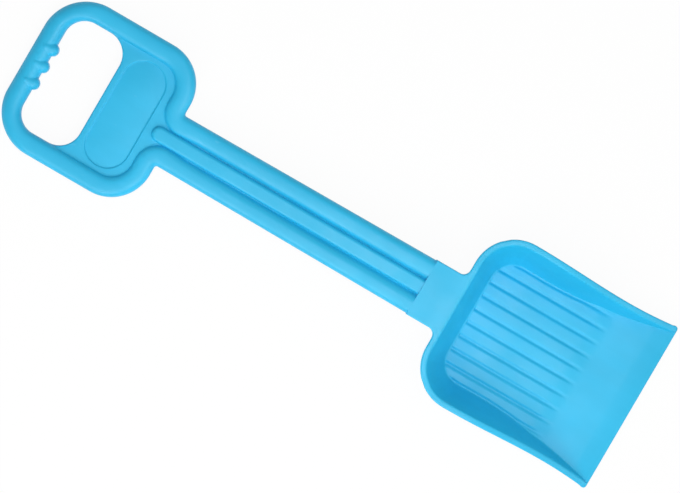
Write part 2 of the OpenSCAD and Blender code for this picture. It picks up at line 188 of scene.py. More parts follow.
class Bench:
    """The modelling steps that the pieces share, each made with Blender's own operators."""

    @staticmethod
    def clear() -> None:
        """Leaves edit mode and deselects everything."""
        if bpy.context.object is not None and bpy.context.object.mode != "OBJECT":
            bpy.ops.object.mode_set(mode="OBJECT")
        bpy.ops.object.select_all(action="DESELECT")

    @staticmethod
    def take(piece: bpy.types.Object) -> None:
        """Makes one piece the selected and active one.

        Args:
            piece: The piece.
        """
        Bench.clear()
        piece.select_set(True)
        bpy.context.view_layer.objects.active = piece

    @staticmethod
    def edit(piece: bpy.types.Object, kind: str = "EDGE") -> bmesh.types.BMesh:
        """Opens a piece in edit mode with nothing selected.

        Args:
            piece: The mesh object.
            kind: Select mode: VERT, EDGE or FACE.

        Returns:
            Its edit mesh.
        """
        Bench.take(piece)
        bpy.ops.object.mode_set(mode="EDIT")
        bpy.ops.mesh.select_mode(type=kind)
        bpy.ops.mesh.select_all(action="DESELECT")
        mesh = bmesh.from_edit_mesh(piece.data)
        mesh.verts.ensure_lookup_table()
        return mesh

    @staticmethod
    def pick(piece: bpy.types.Object, test: Callable[..., bool], kind: str = "EDGE") -> None:
        """Opens a piece in edit mode and selects the edges or faces that pass a test.

        Args:
            piece: The mesh object.
            test: Tells whether an edge or face is wanted.
            kind: EDGE or FACE.
        """
        mesh = Bench.edit(piece, kind)
        for item in mesh.faces if kind == "FACE" else mesh.edges:
            if test(item):
                item.select_set(True)
        mesh.select_flush_mode()
        bmesh.update_edit_mesh(piece.data)

    @staticmethod
    def bevel(
        piece: bpy.types.Object, test: Callable[..., bool], offset: float, segments: int
    ) -> None:
        """Rounds the edges of a piece that pass a test.

        Args:
            piece: The mesh object.
            test: Tells whether an edge is rounded.
            offset: How far the rounding reaches from the edge.
            segments: Number of its segments.
        """
        Bench.pick(piece, test)
        bpy.ops.mesh.bevel(offset=offset, offset_type="OFFSET", segments=segments, profile=0.5)

    @staticmethod
    def grow_rings(piece: bpy.types.Object, rings: list[list[Vector]]) -> bmesh.types.BMesh:
        """Extrudes the open edges of a piece ring by ring.

        Args:
            piece: The mesh object, whose edge points carry their number in the layer "station".
            rings: Where those points go, one list for each extrusion.

        Returns:
            The edit mesh, with the last ring selected.
        """
        Bench.pick(piece, lambda edge: edge.is_boundary)
        mesh = bmesh.from_edit_mesh(piece.data)
        for ring in rings:
            bpy.ops.mesh.extrude_region_move()
            mesh = bmesh.from_edit_mesh(piece.data)
            mark = mesh.verts.layers.int["station"]
            for vert in mesh.verts:
                if vert.select:
                    vert.co = ring[vert[mark] - 1]
            bmesh.update_edit_mesh(piece.data)
        return mesh

    @staticmethod
    def block(name: str, low: Sequence[float], high: Sequence[float]) -> bpy.types.Object:
        """Adds a block between two corners.

        Args:
            name: Name of the new object.
            low: Its lowest corner.
            high: Its highest corner.

        Returns:
            The block, with its size in its mesh.
        """
        Bench.clear()
        middle = [(a + b) / 2 for a, b in zip(low, high)]
        size = [b - a for a, b in zip(low, high)]
        bpy.ops.mesh.primitive_cube_add(size=1, location=middle, scale=size)
        piece = bpy.context.object
        piece.name = name
        piece.data.name = name
        bpy.ops.object.transform_apply(location=True, rotation=True, scale=True)
        return piece

    @staticmethod
    def wedge(name: str, outline: Sequence[Row], low_y: float, high_y: float) -> bpy.types.Object:
        """Adds a block and moves its corners to a four-sided outline.

        Args:
            name: Name of the new object.
            outline: The corners in X and Z: low near, low far, high far, high near.
            low_y: Where it begins across.
            high_y: Where it ends across.

        Returns:
            The wedge.
        """
        xs = [corner[0] for corner in outline]
        zs = [corner[1] for corner in outline]
        piece = Bench.block(name, (min(xs), low_y, min(zs)), (max(xs), high_y, max(zs)))
        middle_x, middle_z = (min(xs) + max(xs)) / 2, (min(zs) + max(zs)) / 2
        mesh = Bench.edit(piece, "VERT")
        for vert in mesh.verts:
            far, high = vert.co.x > middle_x, vert.co.z > middle_z
            corner = outline[(2 if far else 3) if high else (1 if far else 0)]
            vert.co.x, vert.co.z = corner
        bmesh.update_edit_mesh(piece.data)
        Bench.clear()
        return piece

    @staticmethod
    def combine(piece: bpy.types.Object, tool: bpy.types.Object, operation: str) -> None:
        """Joins a tool to a piece or cuts it from it, and removes the tool.

        Args:
            piece: The piece that is changed.
            tool: A closed mesh.
            operation: UNION, DIFFERENCE or INTERSECT.
        """
        Bench.take(piece)
        cut = piece.modifiers.new(operation.lower(), "BOOLEAN")
        cut.operation = operation
        cut.solver = "EXACT"
        cut.object = tool
        bpy.ops.object.modifier_apply(modifier=cut.name)
        mesh = tool.data
        bpy.data.objects.remove(tool)
        bpy.data.meshes.remove(mesh)

    @staticmethod
    def join(name: str, parts: list[bpy.types.Object]) -> bpy.types.Object:
        """Joins objects that don't touch into one mesh.

        Args:
            name: Name of the joined object.
            parts: The objects.

        Returns:
            The joined object.
        """
        Bench.take(parts[0])
        for part in parts[1:]:
            part.select_set(True)
        bpy.ops.object.join()
        parts[0].name = name
        return parts[0]

    @staticmethod
    def close_up(piece: bpy.types.Object, merge: float = 1e-4) -> None:
        """Merges doubled points and turns every face outwards.

        Args:
            piece: The mesh object.
            merge: Points closer than this become one.
        """
        Bench.edit(piece, "VERT")
        bpy.ops.mesh.select_all(action="SELECT")
        bpy.ops.mesh.remove_doubles(threshold=merge)
        bpy.ops.mesh.normals_make_consistent(inside=False)
        Bench.clear()

    @staticmethod
    def lay_down(piece: bpy.types.Object, angle: float) -> None:
        """Smooths a finished piece and moves its mesh from the datum to the shared frame.

        Args:
            piece: The piece.
            angle: Edges sharper than this stay sharp, in degrees.
        """
        Bench.take(piece)
        piece.data.transform(Rest().matrix())
        bpy.ops.object.shade_smooth_by_angle(angle=math.radians(angle))
        Bench.clear()


@dataclass
class Scoop:
    """The scoop: drafted shell with a rim band, fluted floor, digging lip and the neck sleeve.

    Sizes whose name ends in "share" are shares of another size, and those that end in "steps" are
    numbers of segments.
    """

    back_x: float = 347.0
    tip_x: float = 500.0
    full_w: float = 132.6
    waist_w: float = 128.6
    waist_share: float = 0.63
    tip_w: float = 134.2
    rim_h: float = 33.95
    tip_rim_z: float = 2.1
    back_r: float = 31.6
    draft: float = 23.3
    wall_t: float = 2.3
    floor_t: float = 2.4
    foot_r: float = 5.0
    foot_share: float = 0.5
    foot_steps: int = 6
    back_fillet: float = 2.2
    side_fillet: float = 1.3
    fillet_steps: int = 4
    fillet_turn_share: float = 0.35
    corner_more: float = 3.5
    corner_lead_share: float = 0.4
    level_l: float = 44.0
    bend_l: float = 40.0
    rim_out: float = 1.8
    rim_round: float = 1.2
    rim_steps: int = 4
    band_h: float = 3.6
    band_share: float = 0.45
    band_round: float = 0.5
    band_lift_share: float = 0.8
    band_steps: int = 2
    bottom_in: float = 0.7
    tip_corner_r: float = 2.2
    tip_corner_least: float = 0.9
    tip_bend: int = 4
    lip_l: float = 16.0
    lip_lead: float = 6.0
    lip_power: float = 1.5
    edge_t: float = 0.9
    edge_in: float = 0.15
    edge_turn: float = 80.0
    edge_steps: int = 6
    front_in: float = 3.0
    front_under: float = 3.9
    flute_count: int = 9
    flute_pitch: float = 11.05
    flute_h: float = 1.0
    groove_depth: float = 1.15
    groove_half: float = 2.5
    side_groove_y: float = 49.3
    side_groove_half: float = 2.2
    side_groove_lead: float = 8.0
    fade_from: float = 95.0
    fade_to: float = 111.0
    groove_lines: tuple[float, ...] = (0.0, 0.4, 0.8, 1.2, 1.6, 2.05, 2.6, 3.6)
    wall_lines: tuple[float, ...] = (2.8, 2.3, 1.9, 1.5, 1.2, 0.9, 0.6, 0.3, 0.0)
    gap_shares: tuple[float, ...] = (0.25, 0.5, 0.75)
    back_lines: tuple[float, ...] = (0, 0.6, 1.4, 2.6, 4.5, 7, 10)
    wide_step: float = 3.2
    fade_step: float = 1.1
    step_lead: float = 4.0
    step_past: float = 1.0
    front_steps: int = 11
    neck_x: float = 323.2
    sleeve_w: float = 44.2
    sleeve_wall: float = 2.4
    sleeve_z: float = 18.2
    sleeve_under: float = 0.02
    sleeve_top_round: float = 0.8
    sleeve_low_round: float = 1.2
    round_steps: int = 4
    fillet_r: float = 5.5
    plan_fillet_steps: int = 12
    fillet_past: float = 0.4
    socket_round: float = 1.9
    socket_steps: int = 5
    nose_w: float = 8.0
    nose_l: float = 7.0
    fit: float = 0.3
    gusset_t: float = 2.4
    gusset_round: float = 0.4
    gusset_steps: int = 2
    over: float = 1.0
    smooth_angle: float = 32.0

    def __post_init__(self) -> None:
        """Works out the sizes that follow from the others."""
        self.lean = math.tan(math.radians(self.draft))
        self.across = self.wall_t / math.cos(math.radians(self.draft))
        self.rim_w = self.rim_out + self.across
        self.foot_angle = math.radians(90 - self.draft)
        self.corner_x = self.back_x + self.back_r
        self.corner_y = self.full_w / 2 - self.back_r
        self.waist_x = lerp(self.corner_x, self.tip_x, self.waist_share)
        self.fall_x = self.back_x + self.level_l
        self.slope_x = self.fall_x + self.bend_l
        slope_l = self.bend_l / 2 + self.tip_x - self.slope_x
        self.slope = (self.rim_h - self.tip_rim_z) / slope_l
        self.lip_x = self.tip_x - self.lip_l
        self.front_x = self.tip_x - self.front_in
        middle = self.flute_count / 2
        self.grooves = [(i - middle) * self.flute_pitch for i in range(1, self.flute_count)]
        self.inner_y = self.grooves[-1] + self.flute_pitch / 2
        self.flute_z = self.floor_t + self.flute_h
        self.foot_in_r = self.back_r - self.foot_in(self.back_x, self.flute_z)
        self.tip_rows = self.side_rows(self.tip_x, self.edge_t)
        self.edge_rows = self.front_rows(len(self.tip_rows))

    # Heights and widths along X

    def rim_at(self, x: float) -> float:
        """Works out the height of the rim.

        Args:
            x: The station along the shovel.

        Returns:
            The height: level at the back, then a bend, then a straight slope.
        """
        if x < self.fall_x:
            return self.rim_h
        if x < self.slope_x:
            return self.rim_h - self.slope * (x - self.fall_x) ** 2 / (2 * self.bend_l)
        return self.rim_h - self.slope * (self.bend_l / 2 + x - self.slope_x)

    def floor_at(self, x: float) -> float:
        """Works out the height of the plain floor, which bends down to the digging edge.

        Args:
            x: The station along the shovel.

        Returns:
            The height.
        """
        if x < self.lip_x:
            return self.floor_t
        share = min(1.0, (x - self.lip_x) / self.lip_l)
        return lerp(self.floor_t, self.edge_t, share**self.lip_power)

    def half_at(self, x: float) -> float:
        """Works out half the width over the rim.

        Args:
            x: The station along the shovel.

        Returns:
            Half the width, narrowest at the waist.
        """
        if x < self.corner_x:
            return self.full_w / 2
        if x < self.waist_x:
            share = (x - self.corner_x) / (self.waist_x - self.corner_x)
            return lerp(self.waist_w, self.full_w, (1 + math.cos(math.pi * share)) / 2) / 2
        share = (x - self.waist_x) / (self.tip_x - self.waist_x)
        return lerp(self.waist_w, self.tip_w, share**2) / 2

    def fillet(self, x: float, high: float, low: float) -> float:
        """Works out the radius between the inner floor and the wall.

        Args:
            x: Place along the shovel.
            high: Height of the rim there.
            low: Height of the floor there.

        Returns:
            The radius.
        """
        turn_l = self.back_r * self.fillet_turn_share
        turn = smooth((x - self.corner_x + turn_l) / turn_l)
        return min(lerp(self.back_fillet, self.side_fillet, turn), (high - low) / 3)

    def foot_in(self, x: float, low: float, corner: float = 0.0) -> float:
        """Works out how far inside the rim's outline the edge of the inner floor lies.

        Args:
            x: The station along the shovel.
            low: Height of the inner floor's edge there.
            corner: How much further in the foot lies in and beside the back corners.

        Returns:
            The distance in plan.
        """
        high = self.rim_at(x)
        r = self.fillet(x, high, low)
        rise = (high - low) * self.lean
        return self.rim_w + rise + corner + r * math.tan(self.foot_angle / 2)

    def run_out(self, past: float) -> float:
        """Works out how far the foot's wider corner still cuts in beside the rim's corner.

        Args:
            past: Distance from the end of the rim's corner.

        Returns:
            The extra inset of the foot.
        """
        over = max(0.0, self.corner_more - past)
        r = self.foot_in_r + self.corner_more
        return r - math.sqrt(r * r - over * over)

    def floor_half(self, x: float) -> float:
        """Works out half the width of the inner floor.

        Args:
            x: The station along the shovel.

        Returns:
            Half the width between the feet of the side walls.
        """
        x = max(x, self.corner_x)
        low = self.floor_at(x)
        for _ in range(4):
            half = self.half_at(x) - self.foot_in(x, low, self.run_out(x - self.corner_x))
            low = self.floor_z(x, half, half)
        return half

    def floor_z(self, x: float, y: float, half: float | None = None) -> float:
        """Works out the height of the fluted floor.

        Args:
            x: Place along the shovel.
            y: Distance from the middle.
            half: Half the floor's width there, where it is known already.

        Returns:
            The height, with the grooves between the flutes and beside the walls.
        """
        half = self.floor_half(x) if half is None else half
        near = min(abs(y - groove) for groove in self.grooves)
        side = abs(y - min(half, self.side_groove_y))
        begin = smooth((x - self.corner_x + self.side_groove_lead) / self.side_groove_lead)
        dip = self.groove_depth * wave(near / self.groove_half)
        beside = self.flute_h * begin * wave(side / self.side_groove_half)
        fade = (x - self.back_x - self.fade_from) / (self.fade_to - self.fade_from)
        return self.floor_at(x) + (1 - smooth(fade)) * (self.flute_h - max(dip, beside))

    def corner_station(self, a: float) -> float:
        """Returns the station whose wall a back corner has at an angle round it."""
        return self.corner_x - self.back_r * self.corner_lead_share * math.cos(a)

    def corner_point(self, a: float) -> tuple[float, float, float, float]:
        """Works out a point of the floor's edge in a back corner.

        Args:
            a: Angle round the corner, from the back to the side.

        Returns:
            X, distance from the middle, height and extra inset.
        """
        more = self.corner_more
        turn = more * (math.cos(a) + math.sin(a))
        wide = self.foot_in_r + more
        corner = self.foot_in_r + turn - math.sqrt(turn**2 - 2 * more**2 + wide**2)
        low = self.flute_z
        for _ in range(3):
            reach = self.back_r - self.foot_in(self.corner_station(a), low, corner)
            x, y = self.corner_x - reach * math.cos(a), self.corner_y + reach * math.sin(a)
            low = self.floor_z(x, y)
        return x, y, low, corner

    # Profiles of the shell

    def side_rows(self, x: float, low: float, corner: float = 0.0) -> list[Row]:
        """Lists the profile of the wall at a station.

        Args:
            x: The station.
            low: Height of the inner floor's edge there.
            corner: How much further in the foot lies in and beside the back corners.

        Returns:
            Distance inside the rim's outline and height of each row, from the inner floor over the
            rim to the underside.
        """
        high = self.rim_at(x)
        fillet = self.fillet(x, high, low)
        foot = self.foot_in(x, low, corner)
        rows = foot_arc(foot, low, fillet, self.foot_angle, self.fillet_steps)
        band = min(self.band_h, self.band_share * high)
        top = min(self.rim_round, band / 2, (high - low) / 3)
        start = (self.rim_w + top * self.lean, high - top)
        rows.append(halfway(rows[-1], start))
        rows += curve_rows(start, (self.rim_w, high), (self.rim_w - top, high), self.rim_steps)
        rows += curve_rows((top, high), (0, high), (0, high - top), self.rim_steps)
        under, lift = min(self.band_round, band / 5), top / 4
        base = high - band
        above, below = (0, base + 2 * under + lift), (under, base + lift * self.band_lift_share)
        rows += curve_rows(above, (0, base + lift), below, self.band_steps)
        crease = self.rim_out + band * self.lean
        soft = min(self.band_round, self.rim_out / 3, base / 4)
        below = (crease + soft * self.lean, base - soft)
        rows += curve_rows((crease - soft, base), (crease, base), below, self.band_steps)
        foot = min(self.foot_r, self.foot_share * base)
        end = self.rim_out + high * self.lean + corner + foot * math.tan(self.foot_angle / 2)
        outer = foot_arc(end, 0.0, foot, self.foot_angle, self.foot_steps)[::-1]
        return rows + [halfway(rows[-1], outer[0])] + outer + [(end + self.bottom_in, 0.0)]

    def front_rows(self, count: int) -> list[Row]:
        """Lists the profile of the digging edge with as many rows as the walls have.

        Args:
            count: Number of rows of the walls.

        Returns:
            Distance behind the digging edge and height of each row.
        """
        r = self.edge_t / 2
        near = r + self.edge_in
        inner = self.fillet_steps + self.rim_steps
        rows = []
        for i in range(inner):
            back = lerp(self.front_in, near, i / (inner - 1))
            rows.append((back, self.floor_at(self.tip_x - back)))
        for i in range(self.edge_steps + 1):
            a = math.radians(self.edge_turn * (1 - 2 * i / self.edge_steps))
            rows.append((r - r * math.cos(a), r + r * math.sin(a)))
        outer = count - len(rows)
        rows += [(lerp(near, self.front_under, (i + 1) / outer), 0.0) for i in range(outer)]
        return rows

    # The floor's lines

    def cross_lines(self) -> list[tuple[str, float]]:
        """Lists the lengthwise lines of the floor on one side.

        Returns:
            The kind of each line and its measure: fixed at a distance from the middle, at a share
            of the way to the wall, or at a distance from the wall.
        """
        fixed = set()
        for groove in self.grooves:
            for off in self.groove_lines + (self.flute_pitch / 2,):
                for y in (round(groove - off, 4), round(groove + off, 4)):
                    if -TINY <= y <= self.inner_y + TINY:
                        fixed.add(max(0.0, y))
        lines = [("fixed", y) for y in sorted(fixed)]
        lines += [("share", share) for share in self.gap_shares]
        return lines + [("wall", back) for back in self.wall_lines]

    def line_y(self, line: tuple[str, float], x: float) -> float:
        """Works out where a lengthwise line of the floor runs at a station.

        Args:
            line: The line's kind and measure.
            x: The station along the shovel.

        Returns:
            Its distance from the middle.
        """
        kind, value = line
        if kind == "fixed":
            return value
        edge = self.floor_half(x)
        if kind == "share":
            return lerp(self.inner_y, edge - self.wall_lines[0], value)
        return edge - value

    def corner_angle(self, y: float) -> float:
        """Finds where in a back corner the floor's edge lies at a distance from the middle.

        Args:
            y: The distance from the middle.

        Returns:
            The angle round the corner.
        """
        low, high = 0.0, math.pi / 2
        for _ in range(30):
            middle = (low + high) / 2
            if self.corner_point(middle)[1] < y:
                low = middle
            else:
                high = middle
        return (low + high) / 2

    def columns(self) -> list[float]:
        """Lists the crosswise lines of the floor.

        Returns:
            The share of the floor's length at which each lies, closer together where it bends.
        """
        start = self.back_x + self.foot_in(self.back_x, self.flute_z)
        xs = [start + line for line in self.back_lines]
        for end, step in (
            (self.back_x + self.fade_from - self.step_lead, self.wide_step),
            (self.back_x + self.fade_to + self.step_past, self.fade_step),
            (self.lip_x - self.step_lead, self.wide_step),
        ):
            while xs[-1] < end:
                xs.append(xs[-1] + step)
        first, steps = xs[-1], self.front_steps
        xs += [lerp(first, self.front_x, (i + 1) / steps) for i in range(steps)]
        return [(x - start) / (self.front_x - start) for x in xs]

    # The columns of points that each edge point of the floor grows into

    def tip_turn(self, inset_x: float, inset_y: float) -> float:
        """Returns the radius of the digging edge's corner at a row's insets."""
        return max(self.tip_corner_r - min(inset_x, inset_y), self.tip_corner_least)

    def back_column(self, y: float) -> list[Point]:
        """Lists the points of the back wall.

        Args:
            y: Distance from the middle.

        Returns:
            X, distance from the middle and height of each row.
        """
        rows = self.side_rows(self.back_x, self.flute_z, self.run_out(self.corner_y - y))
        return [(self.back_x + inset, y, z) for inset, z in rows]

    def corner_column(self, a: float) -> list[Point]:
        """Lists the points of a back corner.

        Args:
            a: Angle round the corner, from the back to the side.

        Returns:
            X, distance from the middle and height of each row.
        """
        _, _, low, corner = self.corner_point(a)
        column = []
        for inset, z in self.side_rows(self.corner_station(a), low, corner):
            reach = self.back_r - inset
            x, y = self.corner_x - reach * math.cos(a), self.corner_y + reach * math.sin(a)
            column.append((x, y, z))
        return column

    def tip_column(self, from_corner: int) -> list[Point]:
        """Lists the points of a corner of the digging edge.

        Args:
            from_corner: Lines from the corner, positive on the side and negative on the front.

        Returns:
            X, distance from the middle and height of each row.
        """
        share = (self.tip_bend - from_corner) / (2 * self.tip_bend)
        a = math.pi / 2 * (1 - share)
        column = []
        for (in_y, side_z), (in_x, front_z) in zip(self.tip_rows, self.edge_rows):
            r = self.tip_turn(in_x, in_y)
            x = self.tip_x - in_x - r + r * math.cos(a)
            y = self.half_at(self.tip_x) - in_y - r + r * math.sin(a)
            column.append((x, y, lerp(side_z, front_z, smooth(share))))
        return column

    def side_column(self, side_x: float, last_x: float) -> list[Point]:
        """Lists the points of a side wall.

        Args:
            side_x: Where the column stands on the floor's edge.
            last_x: Where the last column before the digging edge's corner stands.

        Returns:
            X, distance from the middle and height of each row.
        """
        hinge = self.lip_x - self.lip_lead
        column = []
        for k, ((in_y, _), (in_x, _)) in enumerate(zip(self.tip_rows, self.edge_rows)):
            x = side_x
            if side_x > hinge:
                end = self.tip_x - in_x - self.tip_turn(in_x, in_y)
                x = lerp(hinge, end, (side_x - hinge) / (last_x - hinge))
            low = self.floor_z(x, self.floor_half(x))
            inset, z = self.side_rows(x, low, self.run_out(x - self.corner_x))[k]
            column.append((x, self.half_at(x) - inset, z))
        return column

    def front_column(self, line_y: float, last_y: float) -> list[Point]:
        """Lists the points of the digging edge.

        Args:
            line_y: Where the column's line ends on the floor's front, from the middle.
            last_y: Where the last line before the corner ends.

        Returns:
            X, distance from the middle and height of each row.
        """
        column = []
        for (in_y, _), (in_x, z) in zip(self.tip_rows, self.edge_rows):
            y = line_y
            if y > self.inner_y:
                reach = self.half_at(self.tip_x) - in_y - self.tip_turn(in_x, in_y)
                y = lerp(self.inner_y, reach, (y - self.inner_y) / (last_y - self.inner_y))
            column.append((self.tip_x - in_x, y, z))
        return column

    def rings(
        self,
        loop: list[tuple[int, int]],
        lines: list[tuple[int, tuple[str, float]]],
        starts: list[tuple[float, float | None]],
        shares: list[float],
    ) -> list[list[Vector]]:
        """Works out every ring of the shell.

        Args:
            loop: The floor's edge points in order, as column and line.
            lines: The lengthwise lines, with the side that each is on.
            starts: Where each line starts at the back, and its angle in a back corner.
            shares: The columns.

        Returns:
            One list of points for each ring, in the order of the loop.
        """
        last_i, last_j, bend = len(shares) - 1, len(lines) - 1, self.tip_bend
        last_x = lerp(self.corner_x, self.front_x, shares[last_i - bend])
        last_y = self.line_y(lines[last_j - bend][1], self.front_x)
        columns = []
        for i, j in loop:
            sign, line = lines[j]
            from_side = min(j, last_j - j)
            if i == 0 and starts[j][1] is None:
                column = self.back_column(self.line_y(line, self.corner_x))
            elif i == 0 and from_side > 0:
                column = self.corner_column(starts[j][1])
            elif from_side == 0 and i >= last_i - bend:
                column = self.tip_column(last_i - i)
            elif i == last_i and from_side <= bend:
                column = self.tip_column(-from_side)
            elif from_side == 0:
                column = self.side_column(lerp(self.corner_x, self.front_x, shares[i]), last_x)
            else:
                column = self.front_column(self.line_y(line, self.front_x), last_y)
            columns.append([Vector((x, sign * y, z)) for x, y, z in column])
        return [list(ring) for ring in zip(*columns)]

    # The solids

    def shell(self) -> bpy.types.Object:
        """Models the closed shell of the scoop.

        Returns:
            The shell: a grid for the fluted floor, from whose edge the walls, the rim and the
            underside are extruded ring by ring.
        """
        half_lines = self.cross_lines()
        lines = [(-1, line) for line in reversed(half_lines[1:])]
        lines += [(1, line) for line in half_lines]
        shares = self.columns()
        nx, ny = len(shares), len(lines)
        Bench.clear()
        bpy.ops.mesh.primitive_grid_add(x_subdivisions=nx - 1, y_subdivisions=ny - 1, size=1)
        piece = bpy.context.object
        piece.name = piece.data.name = "scoop_shell"
        loop = [(0, j) for j in range(ny)] + [(i, ny - 1) for i in range(1, nx)]
        loop += [(nx - 1, j) for j in range(ny - 2, -1, -1)]
        loop += [(i, 0) for i in range(nx - 2, 0, -1)]
        number = {key: n + 1 for n, key in enumerate(loop)}
        starts: list[tuple[float, float | None]] = []
        for _, line in lines:
            y = self.line_y(line, self.corner_x)
            a = None if y <= self.corner_y else self.corner_angle(y)
            x = self.back_column(y)[0][0] if a is None else self.corner_point(a)[0]
            starts.append((x, a))
        rings = self.rings(loop, lines, starts, shares)
        mesh = Bench.edit(piece)
        mark = mesh.verts.layers.int.new("station")
        for vert in mesh.verts:
            i = round((vert.co.x + 0.5) * (nx - 1))
            j = round((vert.co.y + 0.5) * (ny - 1))
            vert[mark] = number.get((i, j), 0)
            if vert[mark]:
                x, y = rings[0][vert[mark] - 1][:2]
            else:
                x = lerp(starts[j][0], self.front_x, shares[i])
                y = lines[j][0] * self.line_y(lines[j][1], x)
            vert.co = (x, y, self.floor_z(x, abs(y)))
        bmesh.update_edit_mesh(piece.data)
        Bench.grow_rings(piece, rings[1:])
        bpy.ops.mesh.edge_face_add()
        Bench.close_up(piece)
        return piece

    def sleeve(self) -> bpy.types.Object:
        """Models the neck sleeve: a block that flares into the rim band through two plan fillets.

        Returns:
            The solid sleeve, which ends inside the scoop's back wall.
        """
        top, half = self.rim_h - self.sleeve_under, self.sleeve_w / 2
        inset = self.back_x + self.rim_out + self.across / 2
        far = inset + (top - self.sleeve_z) * self.lean
        start, low = self.neck_x, self.sleeve_z
        outline = [(start, low), (far, low), (inset, top), (start, top)]
        piece = Bench.wedge("sleeve", outline, -half, half)
        band_z = self.rim_h - self.band_h
        Bench.edit(piece)
        bpy.ops.mesh.select_all(action="SELECT")
        bpy.ops.mesh.bisect(plane_co=(0, 0, band_z), plane_no=(0, 0, 1))
        Bench.pick(piece, lambda face: face.calc_center_median().z > band_z + NEAR, "FACE")
        bpy.ops.mesh.bisect(plane_co=(self.back_x, 0, 0), plane_no=(1, 0, 0))
        for side in (-1, 1):

            def beside_rim(face: bmesh.types.BMFace) -> bool:
                """Tells whether a face is the side of the sleeve where it meets the rim band."""
                middle = face.calc_center_median()
                return face.normal.y * side > 0.9 and middle.x > self.back_x and middle.z > band_z

            Bench.pick(piece, beside_rim, "FACE")
            reach = side * (self.fillet_r + self.fillet_past)
            bpy.ops.mesh.extrude_region_move(TRANSFORM_OT_translate={"value": (0, reach, 0)})

        def inner_corner(edge: bmesh.types.BMEdge) -> bool:
            """Tells whether an edge is an upright corner between the sleeve and the rim band.

            Args:
                edge: The edge.

            Returns:
                Whether it is.
            """
            a, b = (vert.co for vert in edge.verts)
            beside = all_near((a.x, b.x), self.back_x) and all_near((abs(a.y), abs(b.y)), half)
            return beside and all_near([a.y], b.y) and min(a.z, b.z) > band_z - NEAR

        def top_outline(edge: bmesh.types.BMEdge) -> bool:
            """Tells whether an edge runs along the side of the sleeve's top.

            Args:
                edge: The edge.

            Returns:
                Whether it does, the mouth and what lies inside the rim band left out.
            """
            xs = [vert.co.x for vert in edge.verts]
            high = all_near([vert.co.z for vert in edge.verts], top)
            turns = any(face.normal.z < 0.5 for face in edge.link_faces)
            return high and turns and min(xs) <= self.back_x + 0.1 and max(xs) >= self.neck_x + 0.1

        def low_long(edge: bmesh.types.BMEdge) -> bool:
            """Tells whether an edge runs along the sleeve's underside.

            Args:
                edge: The edge.

            Returns:
                Whether it does.
            """
            places = [vert.co for vert in edge.verts]
            at_foot = all_near([place.z for place in places], self.sleeve_z)
            return at_foot and all_near([abs(place.y) for place in places], half)

        Bench.bevel(piece, inner_corner, self.fillet_r, self.plan_fillet_steps)
        Bench.bevel(piece, top_outline, self.sleeve_top_round, self.round_steps)
        Bench.bevel(piece, low_long, self.sleeve_low_round, self.round_steps)
        Bench.close_up(piece)
        return piece

    def socket(self) -> bpy.types.Object:
        """Models the space inside the sleeve, up to the outside of the scoop's back wall.

        Returns:
            The solid that is cut from the sleeve.
        """
        low, high = self.sleeve_z + self.sleeve_wall, self.rim_h - self.sleeve_wall
        half, start = self.sleeve_w / 2 - self.sleeve_wall, self.neck_x - self.over
        ends = [self.back_x + self.rim_out + (self.rim_h - z) * self.lean for z in (low, high)]
        outline = [(start, low), (ends[0], low), (ends[1], high), (start, high)]
        piece = Bench.wedge("socket", outline, -half, half)
        Bench.bevel(piece, lambda edge: span_x(edge) > 10, self.socket_round, self.socket_steps)
        Bench.close_up(piece)
        return piece

    def gusset(self, side: int) -> bpy.types.Object:
        """Models one of the two thin gussets below the sleeve.

        Args:
            side: 1 or -1 for the side that it stands on.

        Returns:
            The gusset, which reaches into the sleeve and the back wall.
        """
        wall = self.back_x + self.rim_out + self.across / 2
        wall += (self.rim_h - self.sleeve_z) * self.lean
        near, high = self.neck_x + self.sleeve_wall, self.sleeve_z + self.sleeve_wall / 2
        foot = wall + (self.sleeve_z - self.foot_r) * self.lean
        outline = [(near, self.sleeve_z), (foot, self.foot_r), (wall, high), (near, high)]
        outer = side * (self.sleeve_w / 2 - self.sleeve_wall)
        inner = outer - side * self.gusset_t
        piece = Bench.wedge("gusset", outline, min(inner, outer), max(inner, outer))

        def low_long(edge: bmesh.types.BMEdge) -> bool:
            """Tells whether an edge is one of the long lower ones."""
            return edge.calc_length() > 5 and min(vert.co.z for vert in edge.verts) < self.sleeve_z

        Bench.bevel(piece, low_long, self.gusset_round, self.gusset_steps)
        Bench.close_up(piece)
        return piece

    def build(self) -> bpy.types.Object:
        """Models the scoop and lays it down.

        Returns:
            The finished piece.
        """
        piece = self.shell()
        Bench.combine(piece, self.sleeve(), "UNION")
        for side in (-1, 1):
            Bench.combine(piece, self.gusset(side), "UNION")
        Bench.combine(piece, self.socket(), "DIFFERENCE")
        nose_x = (self.neck_x + self.back_x) / 2
        half = self.nose_w / 2 + self.fit
        low = (nose_x - self.fit, -half, self.sleeve_z - self.over)
        top = self.sleeve_z + 2 * self.sleeve_wall - self.over
        high = (nose_x + self.nose_l + self.fit, half, top)
        Bench.combine(piece, Bench.block("slot", low, high), "DIFFERENCE")
        piece.name = piece.data.name = "scoop_moulding"
        Bench.lay_down(piece, self.smooth_angle)
        return piece


